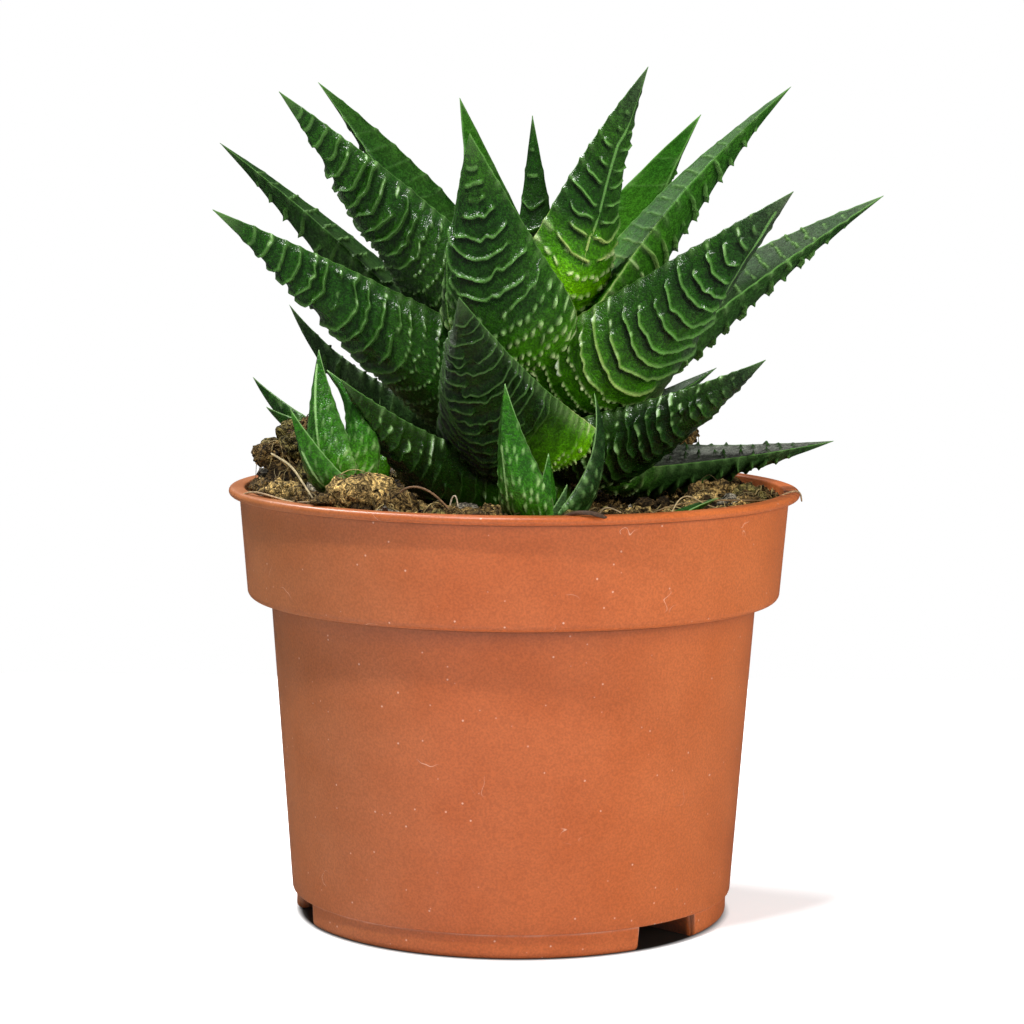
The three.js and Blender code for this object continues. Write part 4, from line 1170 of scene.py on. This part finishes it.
def lumps_body():
    """Crumbly lumps: each is a ball stretched to three radii and pushed in and out along its own directions
    by three sizes of noise. Smaller clods from a seeded draw lie between them."""
    draw = np.random.default_rng(5)
    bodies = []
    lumps = list(LUMPS)
    while len(lumps) < len(LUMPS) + CLODS:
        radius, bearing = 54 * math.sqrt(draw.uniform(0.35, 1)), draw.uniform(0, 2 * math.pi)
        x, y = radius * math.cos(bearing), radius * math.sin(bearing)
        size = draw.uniform(0.8, 2.0)
        if math.hypot(0.5 * (x - 34), y + 44) > 5:
            radii = tuple(size * draw.uniform(0.7, 1.3, 3))
            lumps.append((x, y, 0.3 * size, radii, int(draw.integers(0, len(PEAT_TONES)))))
    for number, (x, y, lift, radii, tone) in enumerate(lumps):
        shape, faces = LUMP_BALL if number < len(LUMPS) else CLOD_BALL
        body = shape * radii
        dents = 0.24 * noise(body + number * 31, 2.6) + 0.2 * noise(body + number * 17, 1.2)
        dents = dents + 0.14 * (1 - 2 * np.abs(noise(body - number * 7, 0.8)))
        body = body * (1 + dents[:, None] * (3.4 / np.mean(radii)))
        body = body + (x, y, soil_level(x, y) + lift)
        patch = 0.8 + 0.5 * noise(body, 1.6, 5)[:, None]
        bodies.append((kept_in_pot(body), NO_QUADS, faces, with_tone(PEAT_TONES[tone] * patch)))
    return merged(bodies)


def random_turns(draw, count):
    """Random turns as matrices, each from a unit quaternion."""
    turn = draw.normal(size=(count, 4))
    turn /= np.linalg.norm(turn, axis=1, keepdims=True)
    w, i, j, k = turn.T
    return np.stack([1 - 2 * (j * j + k * k), 2 * (i * j - k * w), 2 * (i * k + j * w), 2 * (i * j + k * w),
                     1 - 2 * (i * i + k * k), 2 * (j * k - i * w), 2 * (i * k - j * w), 2 * (j * k + i * w),
                     1 - 2 * (i * i + j * j)], -1).reshape(-1, 3, 3)


def crumbs_body(settings):
    """Crumbs on the soil: many rough balls, each turned, stretched and dented at random by a seeded draw. A
    seventh of them lie on the left heap, and half on the lumps."""
    draw = np.random.default_rng(7)
    count = settings.crumbs
    shape, faces = CRUMB_BALL
    radius = 55.2 * np.sqrt(draw.uniform(0.2, 1, count))
    bearing = draw.uniform(0, 2 * np.pi, count)
    x, y = radius * np.cos(bearing), radius * np.sin(bearing)
    heaped, lumped = count // 7, count // 2
    x[:heaped] = -41 + draw.normal(0, 5.5, heaped)
    y[:heaped] = 3 + draw.normal(0, 6, heaped)
    on_lump = draw.choice(len(LUMPS), lumped)
    middle = np.array([lump[:3] for lump in LUMPS])[on_lump]
    radii = np.array([lump[3] for lump in LUMPS])[on_lump]
    lean = draw.normal(size=(lumped, 3))
    lean /= np.linalg.norm(lean, axis=1, keepdims=True)
    middle[:, 2] += soil_height(middle[:, 0], middle[:, 1])
    outside = np.hypot(x, y) > 55
    x, y = np.where(outside, x * 0.9, x), np.where(outside, y * 0.9, y)
    z = soil_height(x, y)
    x[-lumped:], y[-lumped:], z[-lumped:] = (middle + radii * lean * (1, 1, 0.97)).T
    size = 0.3 + 1.1 * draw.uniform(0, 1, count) ** 2.4
    size[-lumped:] = 0.28 + 0.6 * draw.uniform(0, 1, lumped) ** 2
    turns = random_turns(draw, count)
    dents = 0.6 + 0.7 * draw.uniform(0, 1, (count, len(shape), 1))
    stretch = draw.uniform(0.5, 1.4, (count, 1, 3))
    body = np.einsum("nij,npj->npi", turns, shape[None] * dents * stretch) * size[:, None, None]
    z = z + size * draw.uniform(-0.2, 0.5, count)
    body += np.stack([x, y, z], -1)[:, None, :]
    pick = draw.choice(len(PEAT_TONES), count, p=(0.28, 0.34, 0.22, 0.04, 0.12))
    pick[-lumped:] = np.array([lump[4] for lump in LUMPS])[on_lump]
    tone = PEAT_TONES[pick] * draw.uniform(0.35, 1.5, (count, 1))
    tris = (faces[None] + (np.arange(count) * len(shape))[:, None, None]).reshape(-1, 3)
    return kept_in_pot(body.reshape(-1, 3)), NO_QUADS, tris, np.repeat(with_tone(tone), len(shape), axis=0)


def fibre(path, thickness, tone, sides):
    """A thin tube along a path: at each point a ring of sides lies across the path, thinner at both ends."""
    along = np.gradient(path, axis=0)
    along /= np.linalg.norm(along, axis=1, keepdims=True)
    side = np.cross(along, [0.31, 0.17, 0.93])
    side /= np.linalg.norm(side, axis=1, keepdims=True)
    up = np.cross(along, side)
    share = np.linspace(0, 1, len(path))
    size = thickness * (0.25 + 0.75 * np.sin(np.pi * share) ** 0.4)
    angle = np.linspace(0, 2 * np.pi, sides, endpoint=False)
    ring = np.cos(angle)[None, :, None] * side[:, None] + np.sin(angle)[None, :, None] * up[:, None]
    points, quads, tris = closed_skin(path[:, None] + ring * size[:, None, None])
    return points, quads, tris, with_tone(np.tile(tone, (len(points), 1)))


def spline(knots, count):
    """A smooth path near the knots: quadratic pieces between the middles of their spans."""
    knots = np.asarray(knots, float)
    middle = (knots[1:] + knots[:-1]) / 2
    start = np.vstack([knots[:1], middle])
    end = np.vstack([middle, knots[-1:]])
    t = np.linspace(0, 1, max(3, count // len(knots)))[None, :, None]
    piece = (1 - t) ** 2 * start[:, None] + 2 * t * (1 - t) * knots[:, None] + t * t * end[:, None]
    path = piece.reshape(-1, 3)
    return path[np.append(True, np.linalg.norm(np.diff(path, axis=0), axis=1) > 1e-3)]


def fibres_body(settings):
    """Coir fibres: short arcs that wander over the soil, each from a seeded draw and every second one over a
    lump, and the roots that stand out."""
    draw = np.random.default_rng(21)
    bodies = []
    bends = 9
    for number in range(settings.fibres):
        radius = 54 * math.sqrt(draw.uniform(0.3, 1))
        bearing = draw.uniform(0, 2 * np.pi)
        heading = draw.uniform(0, 2 * np.pi) + np.cumsum(draw.normal(0, 0.34, bends))
        step = draw.uniform(0.35, 1.1)
        x0, y0 = radius * math.cos(bearing), radius * math.sin(bearing)
        if number % 2:
            lump = LUMPS[number // 2 % len(LUMPS)]
            x0, y0 = lump[0] + draw.normal(0, 2), lump[1] + draw.normal(0, 1.6)
        x = x0 + np.cumsum(np.cos(heading)) * step
        y = y0 + np.cumsum(np.sin(heading)) * step
        pull = np.minimum(1, 54.5 / np.hypot(x, y))
        x, y = x * pull, y * pull
        hump = draw.uniform(0.1, 1.2) * np.sin(np.linspace(0, np.pi, bends))
        path = np.stack([x, y, top_height(x, y) + 0.35 + hump], -1)
        tone = np.array((0.46, 0.34, 0.13)) * draw.uniform(0.1, 1.1)
        bodies.append(fibre(path, draw.uniform(0.05, 0.14), tone, 4))
    for knots, thickness, tone in ROOTS:
        bodies.append(fibre(spline(knots, 30), thickness, tone, 7))
    return merged(bodies)


# Stage

# Lamps as name, place, diameter and power
LAMPS = [("back", (-0.42, 0.38, 0.85), 0.26, 9.5), ("right", (0.80, -0.95, 0.45), 0.6, 11.5),
         ("front", (-0.16, -0.42, 0.95), 0.09, 7.5)]
AIM = Vector((0, 0, 0.11))
WHITE = (1, 1, 1, 1)
FOOT_SHADOW = (0.0445, 0.0468)      # painted shadow under the foot: the floor is dark within the first radius and clear past the second
FOOT_SHADOW_TONE = (0.02, 0.018, 0.015)


def studio_world(light):
    """A world that the camera sees as pure white, and that lights the plant softly from all round."""
    world = bpy.data.worlds.new("Studio")
    world.use_nodes = True
    tree = world.node_tree
    soft = tree.nodes["Background"]
    soft.inputs[0].default_value = WHITE
    seen = tree.nodes.new("ShaderNodeBackground")
    seen.inputs[0].default_value = WHITE
    path = tree.nodes.new("ShaderNodeLightPath")
    strength = ranged(tree, path.outputs["Is Glossy Ray"], 0, 1, 0.17 * light, 0.08 * light)
    tree.links.new(strength, soft.inputs[1])
    mix = tree.nodes.new("ShaderNodeMixShader")
    for socket, source in zip(mix.inputs, (path.outputs["Is Camera Ray"], soft.outputs[0], seen.outputs[0])):
        tree.links.new(source, socket)
    tree.links.new(mix.outputs[0], tree.nodes["World Output"].inputs[0])
    return world


def floor_material(settings):
    """Pale floor: a painted shadow under the pot's foot, and past it a little brighter to the camera, so that
    it ends white."""
    material, tree, shader = new_material("Pale floor")
    path = tree.nodes.new("ShaderNodeLightPath")
    where = tree.nodes.new("ShaderNodeTexCoord")
    reach = add(tree, "ShaderNodeVectorMath", operation="LENGTH")
    tree.links.new(where.outputs["Object"], reach.inputs[0])
    clear = ranged(tree, reach.outputs["Value"], *FOOT_SHADOW)
    shown = times(tree, path.outputs["Is Camera Ray"], clear)
    # painted shadow: the floor's colour goes to the shadow tone under the foot
    tree.links.new(mix_colour(tree, clear, FOOT_SHADOW_TONE, settings.floor), shader.inputs["Base Color"])
    tree.links.new(times(tree, shown, 0.5), shader.inputs["Emission Strength"])
    shader.inputs["Emission Color"].default_value = WHITE
    shader.inputs["Roughness"].default_value = 0.8
    return material


def placed(name, data, place):
    """An object of the stage, linked into the scene at its place."""
    thing = bpy.data.objects.new(name, data)
    bpy.context.scene.collection.objects.link(thing)
    thing.location = place
    return thing


# Operators

class HAWORTHIA_OT_pot(bpy.types.Operator):
    """Makes the nursery pot with its lip, collar, foot and drain recesses"""
    bl_idname = "haworthia.pot"
    bl_label = "Pot"

    def execute(self, context):
        settings = context.scene.haworthia_pot
        put_piece("pot_moulded", pot_body(settings), pot_material(settings), ["pot"])
        return {"FINISHED"}


class HAWORTHIA_OT_leaves(bpy.types.Operator):
    """Makes every leaf of the rosette with its ridges, beads and toothed margins, and gives the stem its
    skin"""
    bl_idname = "haworthia.leaves"
    bl_label = "Leaves"

    def execute(self, context):
        settings = context.scene.haworthia_leaf
        ridge_height = settings.ridge_height / MM
        skins = {}
        for name, row in LEAVES.items():
            leaf = {**PLAIN_LEAF, **row}
            kind = (leaf["dark"], leaf["matt"])
            if kind not in skins:
                skins[kind] = leaf_material("Leaf skin %d" % len(skins), settings, dark=kind[0], matt=kind[1])
            put_piece(name + "_skin", leaf_body(leaf, ridge_height), skins[kind], [name])
        stem = cad_node("stem")
        stem.data.materials.clear()
        stem.data.materials.append(stem_material(settings))
        return {"FINISHED"}


class HAWORTHIA_OT_offsets(bpy.types.Operator):
    """Makes the young offsets, each a bunch of small leaves on one foot"""
    bl_idname = "haworthia.offsets"
    bl_label = "Offsets"

    def execute(self, context):
        settings = context.scene.haworthia_leaf
        ridge_height = settings.ridge_height / MM
        skin = leaf_material("Young skin", settings, young=1, matt=0.2)
        for name, offset in OFFSETS.items():
            put_piece(name + "_skin", offset_body(offset, ridge_height), skin, [name])
        return {"FINISHED"}


class HAWORTHIA_OT_soil(bpy.types.Operator):
    """Makes the soil, its lumps and crumbs and the coir fibres on it"""
    bl_idname = "haworthia.soil"
    bl_label = "Soil"

    def execute(self, context):
        settings = context.scene.haworthia_soil
        peat = soil_material()
        put_piece("soil_fill", soil_body(settings), peat, ["soil"])
        put_piece("soil_lumps", lumps_body(), peat)
        put_piece("soil_crumbs", crumbs_body(settings), peat, shade_smooth=False)
        put_piece("soil_fibres", fibres_body(settings), coir_material())
        return {"FINISHED"}


class HAWORTHIA_OT_stage(bpy.types.Operator):
    """Makes the floor, the soft studio lamps and the camera"""
    bl_idname = "haworthia.stage"
    bl_label = "Stage"

    def execute(self, context):
        settings = context.scene.haworthia_stage
        scene = context.scene
        mesh = bpy.data.meshes.new("floor")
        mesh.from_pydata([(-1, -1, 0), (1, -1, 0), (1, 0.3, 0), (-1, 0.3, 0)], [], [(0, 1, 2, 3)])
        mesh.materials.append(floor_material(settings))
        floor = placed("floor", mesh, (0, 0, 0))
        floor.visible_glossy = False
        scene.world = studio_world(settings.light)
        for name, place, size, power in LAMPS:
            lamp = bpy.data.lights.new(name, "AREA")
            lamp.shape = "DISK"
            lamp.size = size
            lamp.energy = power * settings.light
            lamp_object = placed(name, lamp, place)
            lamp_object.visible_glossy = name != "right"
            lamp_object.rotation_mode = "QUATERNION"
            lamp_object.rotation_quaternion = (AIM - Vector(place)).to_track_quat("-Z", "Y")
        camera = bpy.data.cameras.new("camera")
        camera.lens = 107.2
        camera.sensor_width = 36
        camera.clip_start = 0.05
        scene.camera = placed("camera", camera, (-0.001, -0.640, 0.155))
        scene.camera.rotation_euler = (math.radians(90 - 6.25), math.radians(-0.45), 0)
        scene.view_settings.view_transform = "Standard"
        return {"FINISHED"}


OPERATORS = (HAWORTHIA_OT_pot, HAWORTHIA_OT_leaves, HAWORTHIA_OT_offsets, HAWORTHIA_OT_soil,
             HAWORTHIA_OT_stage)
GROUPS = {"pot": PotSettings, "leaf": LeafSettings, "soil": SoilSettings, "stage": StageSettings}


class HAWORTHIA_PT_sidebar(bpy.types.Panel):
    """Lists the sizes and colours, and a button for each piece"""
    bl_idname = "HAWORTHIA_PT_sidebar"
    bl_label = "Potted haworthia"
    bl_space_type = "VIEW_3D"
    bl_region_type = "UI"
    bl_category = "Haworthia"

    def draw(self, context):
        for part, group in GROUPS.items():
            box = self.layout.box()
            for key in group.__annotations__:
                box.prop(getattr(context.scene, "haworthia_" + part), key)
        for operator in OPERATORS:
            self.layout.operator(operator.bl_idname)


def register():
    for group in GROUPS.values():
        bpy.utils.register_class(group)
    for operator in OPERATORS:
        bpy.utils.register_class(operator)
    bpy.utils.register_class(HAWORTHIA_PT_sidebar)
    for name, group in GROUPS.items():
        setattr(bpy.types.Scene, "haworthia_" + name, PointerProperty(type=group))


def unregister():
    for name in GROUPS:
        delattr(bpy.types.Scene, "haworthia_" + name)
    bpy.utils.unregister_class(HAWORTHIA_PT_sidebar)
    for operator in reversed(OPERATORS):
        bpy.utils.unregister_class(operator)
    for group in reversed(GROUPS.values()):
        bpy.utils.unregister_class(group)


def main():
    register()
    for operator in OPERATORS:
        getattr(bpy.ops.haworthia, operator.bl_idname.split(".")[1])()


if __name__ == "__main__":
    main()
